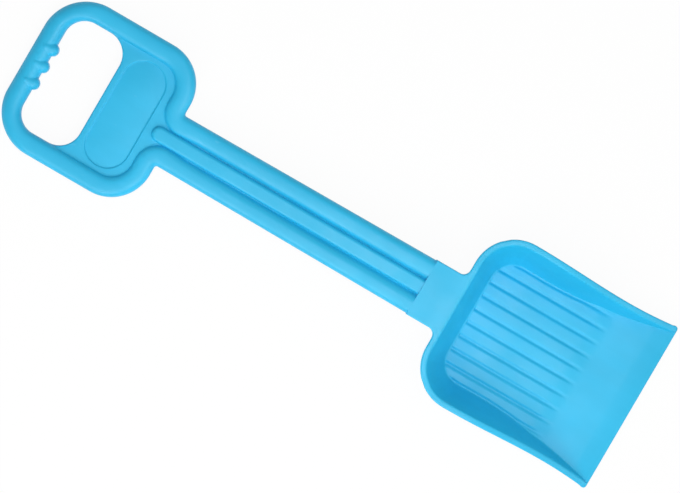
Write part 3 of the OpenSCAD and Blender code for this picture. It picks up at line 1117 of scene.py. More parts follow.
class Plan:
    """A line drawn in plan from straights and arcs, with its outer side on the left."""

    def __init__(self) -> None:
        """Starts with nothing drawn."""
        self.parts: list[tuple] = []

    def straight(self, start: Row, end: Row) -> None:
        """Adds a straight between two points."""
        self.parts.append(("line", Vector(start), Vector(end)))

    def arc(self, centre: Row, radius: float, start: float, end: float) -> None:
        """Adds an arc between two angles in degrees, which fall where it turns right."""
        self.parts.append(("arc", Vector(centre), radius, math.radians(start), math.radians(end)))

    def sample(self, straight_step: float, bend_step: float) -> list[tuple[Vector, Vector]]:
        """Walks along the plan.

        Args:
            straight_step: Largest step on a straight.
            bend_step: Largest step on an arc.

        Returns:
            Points, each with the direction that points out on the left.
        """
        found: list[tuple[Vector, Vector]] = []
        for kind, *part in self.parts:
            if kind == "line":
                start, end = part
                along = (end - start).normalized()
                out = Vector((-along.y, along.x))
                steps = max(1, math.ceil((end - start).length / straight_step))
                items = [(start.lerp(end, i / steps), out) for i in range(steps + 1)]
            else:
                centre, radius, low, high = part
                side = 1 if high < low else -1
                steps = max(2, math.ceil(abs(high - low) * radius / bend_step))
                outs = [direction(lerp(low, high, i / steps)) for i in range(steps + 1)]
                items = [(centre + radius * out, side * out) for out in outs]
            found = found[:-1] + items
        return found

    def offset(self, points: np.ndarray) -> np.ndarray:
        """Measures how far points lie from the plan.

        Args:
            points: Points in plan.

        Returns:
            The distances, positive on the plan's left.
        """
        best = np.full(len(points), FAR)
        signed = np.full(len(points), FAR)
        for kind, *part in self.parts:
            if kind == "line":
                start, end = (np.array(place) for place in part)
                length = np.linalg.norm(end - start)
                along = (end - start) / length
                t = np.clip((points - start) @ along, 0, length)
                gap = points - start - t[:, None] * along
                away = np.hypot(gap[:, 0], gap[:, 1])
                side = gap @ np.array([-along[1], along[0]])
            else:
                centre, radius, start, end = part
                gap = points - np.array(centre)
                reach = np.hypot(gap[:, 0], gap[:, 1])
                turned = (np.arctan2(gap[:, 1], gap[:, 0]) - min(start, end)) % (2 * math.pi)
                away = np.where(turned <= abs(end - start) + TINY, np.abs(reach - radius), FAR)
                side = (reach - radius) * (1 if end < start else -1)
            closer = away < best
            best = np.where(closer, away, best)
            signed = np.where(closer, np.where(side < 0, -away, away), signed)
        return signed


class Cloud:
    """Points in plan that keep a clearance from each other."""

    def __init__(self, clearance: float) -> None:
        """Starts an empty cloud.

        Args:
            clearance: Smallest distance between two points.
        """
        self.clearance = clearance
        self.cells: dict[tuple[int, int], list[Row]] = {}
        self.points: list[Row] = []

    def cell(self, x: float, y: float) -> tuple[int, int]:
        """Returns the square of the search grid that a place lies in."""
        return int(x // self.clearance), int(y // self.clearance)

    def near(self, x: float, y: float) -> bool:
        """Tells whether a point of the cloud lies closer than the clearance.

        Args:
            x: Place along the shovel.
            y: Place across.

        Returns:
            Whether one does.
        """
        i, j = self.cell(x, y)
        cells = [(a, b) for a in (i - 1, i, i + 1) for b in (j - 1, j, j + 1)]
        close = (math.dist((x, y), p) for cell in cells for p in self.cells.get(cell, ()))
        return any(gap < self.clearance for gap in close)

    def add(self, x: float, y: float, always: bool = False) -> None:
        """Adds a point, unless one lies too close.

        Args:
            x: Place along the shovel.
            y: Place across.
            always: Adds it anyway.
        """
        if always or not self.near(x, y):
            self.cells.setdefault(self.cell(x, y), []).append((x, y))
            self.points.append((x, y))

    def add_pairs(self, x: float, ys: Sequence[float]) -> None:
        """Adds points on both sides of the middle.

        Args:
            x: Their place along the shovel.
            ys: Their distances from the middle.
        """
        for y in ys:
            self.add(x, -y)
            self.add(x, y)


@dataclass
class Handle:
    """The handle: D grip with finger bumps and sunk web, ribbed shaft, open back and tongue.

    Sizes whose name ends in "from" are places along the shovel where a form begins to change, and
    the one that ends in "turn" beside it is how long the change takes. Tables of lines say where
    the mesh's points lie: inside an edge, or out from the border's middle line.
    """

    crest_z: float = 33.6
    thick: float = 15.0
    bar_r: float = 7.45
    grip_w: float = 119.0
    grip_l: float = 117.0
    end_r: float = 34.0
    end_x: float = 0.07
    shoulder_r: float = 31.0
    armpit_r: float = 2.0
    shaft_w: float = 40.6
    neck_w: float = 43.0
    neck_x: float = 323.2
    # Sections: how full they are, where 2 is round
    fullness: float = 3.0
    bar_fullness: float = 2.2
    flank_fullness: float = 2.4
    full_from: float = 14.0
    full_turn: float = 16.0
    shaft_from: float = 119.0
    shaft_turn: float = 16.0
    blend: float = 0.7
    roll: float = 1.35
    crest_rise: float = 0.3
    crest_lead: float = 7.0
    crest_turn: float = 6.0
    # Window and web
    window_x: float = 59.8
    window_near_r: float = 15.5
    window_far_r: float = 17.0
    web_drop: float = 3.9
    web_from: float = 40.0
    web_turn: float = 6.0
    # Oval recess
    recess_l: float = 32.9
    recess_w: float = 82.6
    recess_d: float = 1.0
    recess_gap: float = 4.5
    recess_rise: float = 0.6
    recess_out: float = 0.35
    # Middle rib and the grooves beside it
    mid_half: float = 5.5
    mid_gain: float = 0.2
    mid_lead: float = 14.0
    mid_drop: float = 0.8
    mid_round: float = 2.4
    mid_fall: float = 3.2
    groove_y: float = 6.15
    groove_near: float = 3.9
    groove_far: float = 3.8
    groove_from: float = 108.0
    groove_turn: float = 12.0
    level_from: float = 124.0
    # Finger bumps, each a row of balls from the window to a tip on the bar
    bump_pitch: float = 13.6
    bump_r: float = 4.6
    bump_x: float = 13.6
    bump_tip_x: float = 7.9
    bump_tip_r: float = 1.6
    bump_low: float = -0.1
    bump_high: float = 0.6
    bump_balls: int = 25
    bump_side: float = 3.0
    bump_soft: float = 0.2
    bump_reach: Row = (20.0, 7.0)
    bump_zone: float = 22.0
    # Hollow back, its ribs, and the tongue
    skin: float = 2.3
    bore_r: float = 5.0
    rib_t: float = 1.6
    rib_h: float = 16.0
    rib_pitch: float = 34.0
    grip_rib_pitch: float = 20.0
    hollow_drop: float = 5.8
    hollow_from: float = 106.0
    hollow_turn: float = 10.0
    hollow_blend: Row = (0.5, 0.4)
    rim_h: float = 34.0
    back_x: float = 347.0
    rim_out: float = 1.8
    sleeve_z: float = 18.2
    sleeve_wall: float = 2.4
    draft: float = 23.3
    fit: float = 0.3
    tongue_w: float = 38.8
    tongue_lap: float = 0.4
    tongue_round: float = 1.0
    tongue_web: float = 8.0
    nose_top: float = 1.6
    nose_l: float = 7.0
    over: float = 1.0
    smooth_angle: float = 38.0
    # How the upper side goes over its edge: inset and height of the rows at the back, heights of
    # the rows of the shaft's end, and the limits of the rounding
    back_rows: tuple[Row, ...] = ((0.0, 0.5), (0.12, 0.16), (0.4, 0.0), (0.8, 0.0))
    end_rows: tuple[float, ...] = (0.2, 0.05, 0.0)
    end_steps: int = 6
    side_steps: int = 5
    steepest: float = 3.0
    side_least: float = 1.5
    probe: float = 0.15
    # Distances between the mesh's points: on straights and on bends, or along and across
    clearance: float = 0.24
    edge_gap: float = 0.4
    least_area: float = 1e-4
    merge: float = 1e-3
    edge_step: Row = (2.4, 1.1)
    end_gap: float = 0.3
    bar_step: Row = (2.0, 1.1)
    bar_past: float = 5.0
    window_line: float = -5.5
    shaft_lead: float = 6.0
    shaft_step: float = 2.4
    rib_step: float = 1.2
    rib_bends: int = 12
    bump_start: float = 5.6
    bump_step: Row = (0.95, 0.62)
    bump_rows: tuple[int, int] = (13, 9)
    recess_step: Row = (2.2, 1.6)
    recess_least: int = 8
    web_clearance: float = 1.5
    web_step: float = 2.3
    web_x: Row = (44.0, 112.0)
    web_y: Row = (-50.0, 50.0)
    back_step: float = 4.0
    hollow_clearance: float = 0.9
    hollow_step: Row = (5.0, 2.2)
    hollow_gap: float = 0.5
    hollow_rib: Row = (-0.3, 0.9)
    hollow_start: float = 50.0
    hollow_grid: Row = (3.6, 4.4)
    hollow_rows: tuple[int, int] = (17, 10)
    # Lines of the mesh
    rib_middle: tuple[float, ...] = (5.6, 4.1)
    rib_lines: tuple[float, ...] = (2.4, 1.9, 1.45, 1.05, 0.7, 0.4, 0.15, -0.1)
    rib_more: tuple[float, ...] = (-0.35, -0.8, -1.6)
    rib_end: tuple[float, ...] = (0.0, 1.8, 3.2, 3.7, 4.15, 4.55, 4.9, 5.2, 5.45, 5.7, 5.95, 6.2)
    groove_shares: tuple[float, ...] = (1.03, 0.995, 0.95, 0.9, 0.83, 0.75, 0.65, 0.53, 0.36, 0.18)
    bar_lines: tuple[float, ...] = (0.0, 1.5, 2.8, 3.7, 4.4, 5.0, 5.6)
    web_lines: tuple[float, ...] = (-6.1, -6.5, -6.9, -7.3, -7.8, -8.8)
    recess_lines: tuple[float, ...] = (0.65, 0.4, 0.15, -0.1, -0.35, -0.7)
    recess_rings: tuple[float, ...] = (1.1, 1.8, 3.0, 5.0, 8.0, 11.0)
    hollow_lines: tuple[float, ...] = (0, 1.7, -1.7, 3.1, -3.1, 4.2, -4.2, -4.9, -6.5)

    def __post_init__(self) -> None:
        """Works out the sizes that follow from the others and draws the plans."""
        self.bar_z = self.crest_z - self.bar_r
        self.back_z = self.crest_z - self.thick
        self.web_z = self.crest_z - self.web_drop
        self.mid_z = self.crest_z - self.mid_drop
        self.mid_x = self.grip_l - self.mid_lead + self.mid_half
        self.inner_x = 2 * self.bar_r
        self.inner_y = self.grip_w / 2 - 2 * self.bar_r
        self.splay = math.atan((self.neck_w - self.shaft_w) / 2 / (self.neck_x - self.grip_l))
        self.recess_x = self.window_x + self.recess_gap + self.recess_l / 2
        self.bumps = (-self.bump_pitch, 0.0, self.bump_pitch)
        self.border = self.border_plan()
        self.hole = self.hole_loop(0.0)
        self.hole_array = np.array([tuple(point) for point in self.hole])

    def border_plan(self) -> Plan:
        """Draws the middle line of the border.

        Returns:
            The plan, from the shaft on one side round the grip to the shaft on the other.
        """
        end_y, side_y = self.grip_w / 2 - self.end_r, self.grip_w / 2 - self.bar_r
        turn_x, turn_y = self.grip_l - self.shoulder_r, self.grip_w / 2 - self.shoulder_r
        shoulder_x = self.grip_l - self.bar_r
        arm_x, arm_y = self.grip_l + self.armpit_r, self.shaft_w / 2 + self.armpit_r
        bend, tilt = self.armpit_r + self.bar_r, math.degrees(self.splay)
        from_x, from_y = arm_x + bend * math.sin(self.splay), arm_y - bend * math.cos(self.splay)
        neck_y = from_y + (self.neck_x - from_x) * math.tan(self.splay)
        end_turn, shoulder_turn = self.end_r - self.bar_r, self.shoulder_r - self.bar_r
        plan = Plan()
        plan.straight((self.neck_x, -neck_y), (from_x, -from_y))
        plan.arc((arm_x, -arm_y), bend, 90 - tilt, 180)
        plan.straight((shoulder_x, -arm_y), (shoulder_x, -turn_y))
        plan.arc((turn_x, -turn_y), shoulder_turn, 0, -90)
        plan.straight((turn_x, -side_y), (self.end_r, -side_y))
        plan.arc((self.end_r, -end_y), end_turn, -90, -180)
        plan.straight((self.bar_r, -end_y), (self.bar_r, end_y))
        plan.arc((self.end_r, end_y), end_turn, 180, 90)
        plan.straight((self.end_r, side_y), (turn_x, side_y))
        plan.arc((turn_x, turn_y), shoulder_turn, 90, 0)
        plan.straight((shoulder_x, turn_y), (shoulder_x, arm_y))
        plan.arc((arm_x, arm_y), bend, 180, 270 + tilt)
        plan.straight((from_x, from_y), (self.neck_x, neck_y))
        return plan

    def hole_loop(self, grow: float) -> list[Vector]:
        """Draws the edge of the finger window, with the finger bumps standing into it.

        Args:
            grow: How much larger than the window; a grown loop is coarser and has no bumps.

        Returns:
            Its points in order, with the window on the left.
        """
        fine = grow == 0
        near_step, far_step, bends = (0.36, 1.2, 24) if fine else (3, 5, 12)
        near_y = self.inner_y - self.window_near_r
        points = []
        steps = math.ceil(2 * near_y / near_step)
        for i in range(steps):
            x, y = self.inner_x - grow, lerp(near_y, -near_y, i / steps)
            for centre in self.bumps if fine else ():
                off = abs(y - centre)
                inside = off < self.bump_r
                fall = self.bump_side * (self.bump_r - off)
                edge = self.bump_x + (math.sqrt(self.bump_r**2 - off**2) if inside else fall)
                x = 0.5 * (x + edge + math.sqrt((x - edge) ** 2 + self.bump_soft))
            points.append(Vector((x, y)))
        near_x, near_r = self.inner_x + self.window_near_r, self.window_near_r
        far_x, far_r = self.window_x - self.window_far_r, self.window_far_r
        far_y = self.inner_y - far_r
        corners = (
            (near_x, -near_y, near_r, 180),
            (far_x, -far_y, far_r, 270),
            (far_x, far_y, far_r, 0),
            (near_x, near_y, near_r, 90),
        )
        for k, (x, y, radius, start) in enumerate(corners):
            turns = [math.radians(start + 90 * i / bends) for i in range(bends + 1)]
            bend = [Vector((x, y)) + (radius + grow) * direction(a) for a in turns]
            if k > 0:
                last = points[-1]
                steps = max(1, round((bend[0] - last).length / far_step))
                points += [last.lerp(bend[0], i / steps) for i in range(1, steps)]
            points += bend
        return points[:-1]

    # Heights of the upper side

    @staticmethod
    def gap_to(points: np.ndarray, loop: np.ndarray) -> np.ndarray:
        """Measures how far points lie from a closed loop.

        Args:
            points: Points in plan.
            loop: The loop's corners.

        Returns:
            The distances.
        """
        best = np.full(len(points), FAR)
        for start, end in zip(loop, np.roll(loop, -1, axis=0)):
            along = end - start
            t = np.clip((points - start) @ along / (along @ along), 0, 1)
            gap = points - start - t[:, None] * along
            best = np.minimum(best, np.hypot(gap[:, 0], gap[:, 1]))
        return best

    def mid_edge(self, points: np.ndarray) -> np.ndarray:
        """Measures how far points lie inside the edge of the middle rib.

        Args:
            points: Points in plan.

        Returns:
            The distances, negative outside.
        """
        x, y = points[:, 0], points[:, 1]
        half = self.mid_half + self.mid_gain * ramp(x, self.mid_x, self.neck_x - self.mid_x)
        return half - np.hypot(np.minimum(x - self.mid_x, 0), y)

    def recess_edge(self, points: np.ndarray) -> np.ndarray:
        """Measures how far points lie inside the edge of the oval recess.

        Args:
            points: Points in plan.

        Returns:
            The distances, negative outside.
        """
        r = self.recess_l / 2
        y = np.maximum(np.abs(points[:, 1]) - (self.recess_w / 2 - r), 0)
        return r - np.hypot(points[:, 0] - self.recess_x, y)

    def border_heights(self, points: np.ndarray) -> np.ndarray:
        """Works out the heights of the rounded border.

        Args:
            points: Points in plan.

        Returns:
            Their heights on the border, falling away beside it.
        """
        x, y = points[:, 0], points[:, 1]
        offset = self.border.offset(points)
        away, inwards = np.abs(offset), offset < 0
        at_window = 1 - ramp(x, self.web_from, self.web_turn)
        inner = lerp(self.bar_r, away + self.gap_to(points, self.hole_array), at_window)
        inner = np.where((x < self.bump_zone) & (np.abs(y) < self.bump_zone), self.bar_r, inner)
        start = self.shaft_w / 2 - self.bar_r - self.groove_y
        foot = start + (x - self.grip_l) * math.tan(self.splay)
        on_shaft = ramp(x, self.shaft_from, self.shaft_turn)
        reach = np.where(inwards, lerp(inner, foot, on_shaft), self.bar_r)
        full = lerp(self.bar_fullness, self.fullness, ramp(x, self.full_from, self.full_turn))
        full = np.where(inwards, lerp(full, self.flank_fullness, on_shaft), full)
        t = away / np.maximum(reach, TINY)
        arch = np.clip(1 - t**full, 0, 1) ** (1 / full)
        rise = ease(ramp(x, self.neck_x - self.crest_lead, self.crest_turn))
        border = self.bar_z + self.bar_r * np.where(t < 1, arch, FALL * (1 - t))
        return border + self.crest_rise * rise

    def web_heights(self, points: np.ndarray) -> np.ndarray:
        """Works out the heights of the web with its recess, and of the shaft's grooves.

        Args:
            points: Points in plan.

        Returns:
            Their heights.
        """
        x = points[:, 0]
        edge = self.recess_edge(points)
        away = 1 - np.clip(2 * edge / self.recess_l, 0, 1)
        sunk = ease(np.clip(edge + self.recess_out, 0, 1))
        web = self.web_z - sunk * (self.recess_d - self.recess_rise * (1 - away * away))
        along = ramp(x, self.level_from, self.neck_x - self.level_from)
        groove = self.crest_z - lerp(self.groove_near, self.groove_far, along)
        return lerp(web, groove, ease(ramp(x, self.groove_from, self.groove_turn)))

    def mid_heights(self, points: np.ndarray) -> np.ndarray:
        """Works out the heights of the middle rib.

        Args:
            points: Points in plan.

        Returns:
            Their heights on the rib, falling away beside it.
        """
        inside, r = self.mid_edge(points), self.mid_round
        bend = np.sqrt(np.clip(r * r - (r - np.clip(inside, 0, r)) ** 2, 0, None))
        return self.mid_z - r + np.where(inside > 0, bend, self.mid_fall * inside)

    def bump_heights(self, x: np.ndarray, y: np.ndarray) -> np.ndarray:
        """Works out the heights of a finger bump.

        Args:
            x: Places along the shovel.
            y: Places across, from the bump's middle.

        Returns:
            The heights there, or the back's where there is no bump.
        """
        low = self.crest_z - self.bump_low - self.bump_r
        high = self.crest_z + self.bump_high - self.bump_tip_r
        best = np.full(len(x), self.back_z)
        for i in range(self.bump_balls):
            share = i / (self.bump_balls - 1)
            r = lerp(self.bump_r, self.bump_tip_r, share)
            ball = r * r - (x - lerp(self.bump_x, self.bump_tip_x, share)) ** 2 - y**2
            top = lerp(low, high, share) + np.sqrt(np.clip(ball, 0, None))
            best = np.maximum(best, np.where(ball > 0, top, self.back_z))
        return best

    def heights(self, points: np.ndarray) -> np.ndarray:
        """Works out the upper side of the handle.

        Args:
            points: Points in plan.

        Returns:
            Their heights.
        """
        top = blend_max(self.border_heights(points), self.web_heights(points), self.blend)
        top = blend_max(top, self.mid_heights(points), self.blend)
        x, y = points[:, 0], points[:, 1]
        for centre in self.bumps:
            near = (np.abs(y - centre) < self.bump_reach[1]) & (x < self.bump_reach[0])
            if near.any():
                bump = self.bump_heights(x[near], y[near] - centre)
                spare = self.blend**2 / (4 * np.maximum(np.abs(top[near] - bump), self.blend))
                top[near] = blend_max(top[near], bump, self.blend) - spare
        return top

    # Points of the mesh

    def boundary(self) -> tuple[list[Vector], list[Vector], list[str]]:
        """Draws the outer edge of the handle.

        Returns:
            Points on the outer edge, the direction that points out at each, and which kind each is:
            side, corner or end.
        """
        walk = self.border.sample(*self.edge_step)
        points = [point + self.bar_r * out for point, out in walk]
        for point in points:
            point.x = max(point.x, self.end_x)
        outs = [out for _, out in walk]
        kinds = ["side"] * len(points)
        points[0].x = points[-1].x = self.neck_x
        outs[0], outs[-1] = Vector((0, -1)), Vector((0, 1))
        kinds[0] = kinds[-1] = "corner"
        margin = self.roll + self.end_gap
        low, top = points[0].y + margin, points[-1].y - margin
        rows = {round(sign * y, 4) for y in self.shaft_rows(self.neck_x) for sign in (-1, 1)}
        ends = [Vector((self.neck_x, y)) for y in sorted(rows, reverse=True) if low < y < top]
        points += ends
        outs += [Vector((1, 0))] * len(ends)
        kinds += ["end"] * len(ends)
        return points, outs, kinds

    def shaft_rows(self, x: float) -> list[float]:
        """Lists the lengthwise lines of the shaft's upper side at a station.

        Args:
            x: The station.

        Returns:
            Their distances from the middle.
        """
        half = self.mid_half + self.mid_gain * (x - self.mid_x) / (self.neck_x - self.mid_x)
        centre = self.shaft_w / 2 - self.bar_r + (x - self.grip_l) * math.tan(self.splay)
        inner = centre - self.groove_y
        rows = [0.0, half * 0.3] + [half - line for line in self.rib_lines]
        rows += [centre - inner * share for share in self.groove_shares]
        return rows + [centre + line for line in self.bar_lines]

    def cloud(self, loops: list[list[Vector]]) -> Cloud:
        """Spreads the points of the upper side, close together where it bends.

        Args:
            loops: The edges of the upper side.

        Returns:
            The cloud, with the points of the edges first.
        """
        cloud = Cloud(self.clearance)
        for point in loops[0] + loops[1]:
            cloud.add(point.x, point.y, True)
        start, end = self.grip_l + self.shaft_lead, self.neck_x - self.rib_step
        for x in walk_along(start, end, self.shaft_step):
            cloud.add_pairs(x, self.shaft_rows(x))
        for k in range(-self.rib_bends, self.rib_bends + 1):
            out = direction(math.radians(180 + 90 * k / self.rib_bends))
            for line in self.rib_middle + self.rib_lines + self.rib_more:
                reach = self.mid_half - line
                cloud.add(self.mid_x + reach * out.x, reach * out.y)
        grip_end = self.grip_l + self.bar_past
        for x in walk_along(self.mid_x + self.rib_step, grip_end, self.rib_step):
            cloud.add_pairs(x, self.rib_end)
        bar = [sign * line for line in self.bar_lines for sign in (1, -1)]
        for point, out in self.border.sample(*self.bar_step):
            for line in bar + list(self.web_lines) if point.x <= grip_end else ():
                spot = point + line * out
                if line > self.window_line or spot.x >= self.web_from:
                    cloud.add(spot.x, spot.y)
        (step_x, step_y), (rows, half) = self.bump_step, self.bump_rows
        for centre in self.bumps:
            for i in range(rows):
                for j in range(-half, half + 1):
                    cloud.add(self.bump_start + i * step_x, centre + j * step_y)
        self.spread_recess(cloud)
        sparse = Cloud(self.web_clearance)
        for spot in cloud.points:
            sparse.add(*spot, True)
        for y in walk_along(*self.web_y, self.web_step):
            for x in walk_along(*self.web_x, self.web_step):
                if not sparse.near(x, y):
                    cloud.add(x, y)
        return cloud

    def spread_recess(self, cloud: Cloud) -> None:
        """Spreads points along the edge of the oval recess and in rings inside it.

        Args:
            cloud: The cloud that they are added to.
        """
        r, half = self.recess_l / 2, (self.recess_w - self.recess_l) / 2
        straight_step, bend_step = self.recess_step
        rows = round(2 * half / straight_step)
        for line in self.recess_lines + self.recess_rings:
            reach = r - line
            count = max(self.recess_least, round(math.pi * reach / bend_step))
            for i in range(count + 1):
                out = direction(math.pi * i / count)
                cloud.add_pairs(self.recess_x + reach * out.x, [half + reach * out.y])
            for i in range(1, rows):
                for sign in (-1, 1):
                    cloud.add(self.recess_x + sign * reach, lerp(-half, half, i / rows))

    @staticmethod
    def inside(points: np.ndarray, loop: np.ndarray) -> np.ndarray:
        """Tells which points lie inside a closed loop.

        Args:
            points: Points in plan.
            loop: The loop's corners.

        Returns:
            True or false for each point.
        """
        result = np.zeros(len(points), bool)
        x, y = points[:, 0], points[:, 1]
        for (x0, y0), (x1, y1) in zip(loop, np.roll(loop, -1, axis=0)):
            if y0 != y1:
                crosses = (y0 > y) != (y1 > y)
                result ^= crosses & (x < (x1 - x0) * (y - y0) / (y1 - y0) + x0)
        return result

    def triangles(
        self, loops: list[list[Vector]], spots: Sequence[Row]
    ) -> tuple[np.ndarray, list[list[int]]]:
        """Spreads triangles between an outer and an inner edge.

        Args:
            loops: The two edges.
            spots: Points to use between them; those outside or too near the edges are left out.

        Returns:
            The points, those of the edges first, and the triangles.
        """
        outer, inner = (np.array([tuple(p) for p in loop]) for loop in loops)
        free = np.array(spots)
        free = free[self.inside(free, outer) & ~self.inside(free, inner)]
        for loop in (outer, inner):
            free = free[self.gap_to(free, loop) > self.edge_gap]
        coords = loops[0] + loops[1] + [Vector(p) for p in free]
        first, total = len(outer), len(outer) + len(inner)
        edges = [(i, (i + 1) % first) for i in range(first)]
        edges += [(i, i + 1 if i + 1 < total else first) for i in range(first, total)]
        verts, _, faces, *_ = delaunay_2d_cdt(coords, edges, [], 0, 1e-5, False)
        flat = np.array([tuple(v) for v in verts])
        corners = flat[np.array([list(face) for face in faces])]
        middles = corners.mean(axis=1)
        sides = corners[:, 1:] - corners[:, :1]
        area = np.abs(sides[:, 0, 0] * sides[:, 1, 1] - sides[:, 0, 1] * sides[:, 1, 0])
        keep = self.inside(middles, outer) & ~self.inside(middles, inner)
        keep &= area > self.least_area
        return flat, [list(face) for face, kept in zip(faces, keep) if kept]

    def side_rings(
        self, edge: list[Vector], outs: list[Vector], kinds: list[str], rim: list[Vector]
    ) -> list[list[Vector]]:
        """Works out the rings that carry the upper side over its edge and down to the back.

        Args:
            edge: The edge in plan.
            outs: The direction that points out at each of its points.
            kinds: Which kind each point is.
            rim: The edge of the upper side.

        Returns:
            One list of points for each ring.
        """
        base = np.array([tuple(p) for p in rim])
        top = self.heights(base)
        beside = base - self.probe * np.array([tuple(out) for out in outs])
        slope = (self.heights(beside) - top) / self.probe
        low = self.back_z + self.back_rows[0][1]
        columns = []
        for point, out, kind, z, tilt in zip(edge, outs, kinds, top.tolist(), slope.tolist()):
            if kind == "end":
                steps = self.end_steps
                rows = [(0.0, lerp(z, low, (k + 1) / steps)) for k in range(steps)]
                rows += [(0.0, self.back_z + level) for level in self.end_rows]
            else:
                phi = math.atan2(1.0, max(0.0, min(self.steepest, tilt)))
                drop = min(self.roll / math.tan(phi / 2), z - self.back_z - self.side_least)
                turn = max(z - max(0.0, tilt) * self.roll, z - drop)
                start, corner, end = (self.roll, z), (0.0, turn), (0.0, z - drop)
                rows = curve_rows(start, corner, end, self.side_steps)[1:]
                rows += [(inset, self.back_z + level) for inset, level in self.back_rows]
            column = []
            for inset, level in rows:
                spot = point - inset * out
                column.append(Vector((spot.x, spot.y, level)))
            columns.append(column)
        return [list(ring) for ring in zip(*columns)]

    # The solids

    def solid(
        self,
        name: str,
        loops: list[list[Vector]],
        rings: list[list[Vector]],
        spots: list[Row],
        height: Callable[[np.ndarray], np.ndarray],
    ) -> bpy.types.Object:
        """Models a solid: an upper side spread over points, and sides extruded down from its edges.

        Args:
            name: Name of the new object.
            loops: The outer and the inner edge of the upper side.
            rings: Points of both edges, one list for each extrusion.
            spots: Points of the upper side in plan; those outside its edges are left out.
            height: Gives the heights of points.

        Returns:
            The closed solid with a flat lower side.
        """
        first, total = len(loops[0]), len(loops[0]) + len(loops[1])
        flat, faces = self.triangles(loops, spots)
        mesh = bpy.data.meshes.new(name)
        mesh.from_pydata([(x, y, z) for (x, y), z in zip(flat, height(flat))], [], faces)
        piece = bpy.data.objects.new(name, mesh)
        bpy.context.scene.collection.objects.link(piece)
        edit = Bench.edit(piece)
        mark = edit.verts.layers.int.new("station")
        for i, vert in enumerate(edit.verts):
            vert[mark] = i + 1 if i < total else 0
        bmesh.update_edit_mesh(piece.data)
        edit = Bench.grow_rings(piece, rings)
        mark = edit.verts.layers.int["station"]
        lowest = [place.to_2d() for place in rings[-1]]
        step = self.back_step
        far, wide = int(self.neck_x // step), int(self.grip_w / 2 // step)
        grid = [(step * i, step * j) for i in range(1, far + 1) for j in range(-wide, wide + 1)]
        flat, faces = self.triangles([lowest[:first], lowest[first:]], grid)
        ends = {vert[mark] - 1: vert for vert in edit.verts if vert.select}
        level = rings[-1][0].z
        ends.update({i: edit.verts.new((*flat[i], level)) for i in range(total, len(flat))})
        for face in faces:
            edit.faces.new([ends[i] for i in reversed(face)])
        bmesh.update_edit_mesh(piece.data)
        Bench.close_up(piece, self.merge)
        return piece

    def body(self) -> bpy.types.Object:
        """Models the handle with a flat, closed back.

        Returns:
            The solid body.
        """
        edge, outs, kinds = self.boundary()
        insets = [0.0 if kind == "end" else self.roll for kind in kinds]
        rim = [point - inset * out for point, inset, out in zip(edge, insets, outs)]
        count = len(self.hole)
        hole_outs = []
        for i in range(count):
            along = (self.hole[(i + 1) % count] - self.hole[i - 1]).normalized()
            hole_outs.append(Vector((-along.y, along.x)))
        hole_rim = [point - self.roll * out for point, out in zip(self.hole, hole_outs)]
        rings = self.side_rings(edge, outs, kinds, rim)
        hole_rings = self.side_rings(self.hole, hole_outs, ["side"] * count, hole_rim)
        joined = [a + b for a, b in zip(rings, hole_rings)]
        spots = self.cloud([rim, hole_rim]).points[len(rim) + count :]
        return self.solid("handle", [rim, hole_rim], joined, spots, self.heights)

    def ceiling(self, points: np.ndarray) -> np.ndarray:
        """Works out the upper side of the hollow in the back.

        Args:
            points: Points in plan.

        Returns:
            Their heights.
        """
        t = np.abs(self.border.offset(points)) / self.bore_r
        bore = np.where(t < 1, np.sqrt(np.clip(1 - t * t, 0, 1)), FALL * (1 - t))
        turn = ease(ramp(points[:, 0], self.hollow_from, self.hollow_turn))
        web = self.web_z - self.skin - turn * (self.hollow_drop - self.web_drop)
        beside = np.minimum(0, self.mid_fall * (self.mid_edge(points) - self.skin))
        border = self.bar_z + self.bore_r * bore
        at_border, at_rib = self.hollow_blend
        top = blend_max(border, web, at_border)
        return blend_max(top, self.mid_z - self.skin + beside, at_rib)

    def hollow(self) -> bpy.types.Object:
        """Models the hollow of the back, with gaps where its cross ribs stand.

        Returns:
            The solid that is cut from the body.
        """
        walk = self.border.sample(*self.hollow_step)
        outer = [point + self.bore_r * out for point, out in walk]
        end_x = self.neck_x - self.skin
        outer[0].x = outer[-1].x = end_x
        inner = self.hole_loop(self.skin)
        cloud = Cloud(self.hollow_clearance)
        last_x = end_x - self.hollow_gap
        for point, out in walk:
            for line in self.hollow_lines:
                spot = point + line * out
                if spot.x < last_x:
                    cloud.add(spot.x, spot.y)
        half = self.mid_half - self.skin
        for x in walk_along(self.mid_x - half, last_x, self.back_step):
            cloud.add_pairs(x, [0.0] + [half + line for line in self.hollow_rib])
        (step_x, step_y), (rows, wide) = self.hollow_grid, self.hollow_rows
        for i in range(rows):
            for j in range(-wide, wide + 1):
                cloud.add(self.hollow_start + i * step_x, j * step_y)
        ring = [Vector((p.x, p.y, self.back_z - self.over)) for p in outer + inner]
        hollow = self.solid("hollow", [outer, inner], [ring], cloud.points, self.ceiling)
        Bench.combine(hollow, self.back_ribs(), "DIFFERENCE")
        return hollow

    def back_ribs(self) -> bpy.types.Object:
        """Models the cross ribs of the back.

        Returns:
            The ribs as one mesh.
        """
        low, high, wide = self.back_z + self.over, self.back_z + self.rib_h, self.grip_w
        bays = math.floor((self.neck_x - self.grip_l) / self.rib_pitch)
        pitch = (self.neck_x - self.grip_l) / bays
        stations = [self.neck_x - (i + 1) * pitch for i in range(bays)]
        stations += [self.end_r, self.window_x - self.window_far_r, self.recess_x]
        ribs = [Bench.block("rib", (x, -wide, low), (x + self.rib_t, wide, high)) for x in stations]
        for k in (-1, 0, 1):
            y = k * self.grip_rib_pitch - self.rib_t / 2
            far = (self.inner_x, y + self.rib_t, high)
            ribs.append(Bench.block("rib", (-self.over, y, low), far))
        return Bench.join("ribs", ribs)

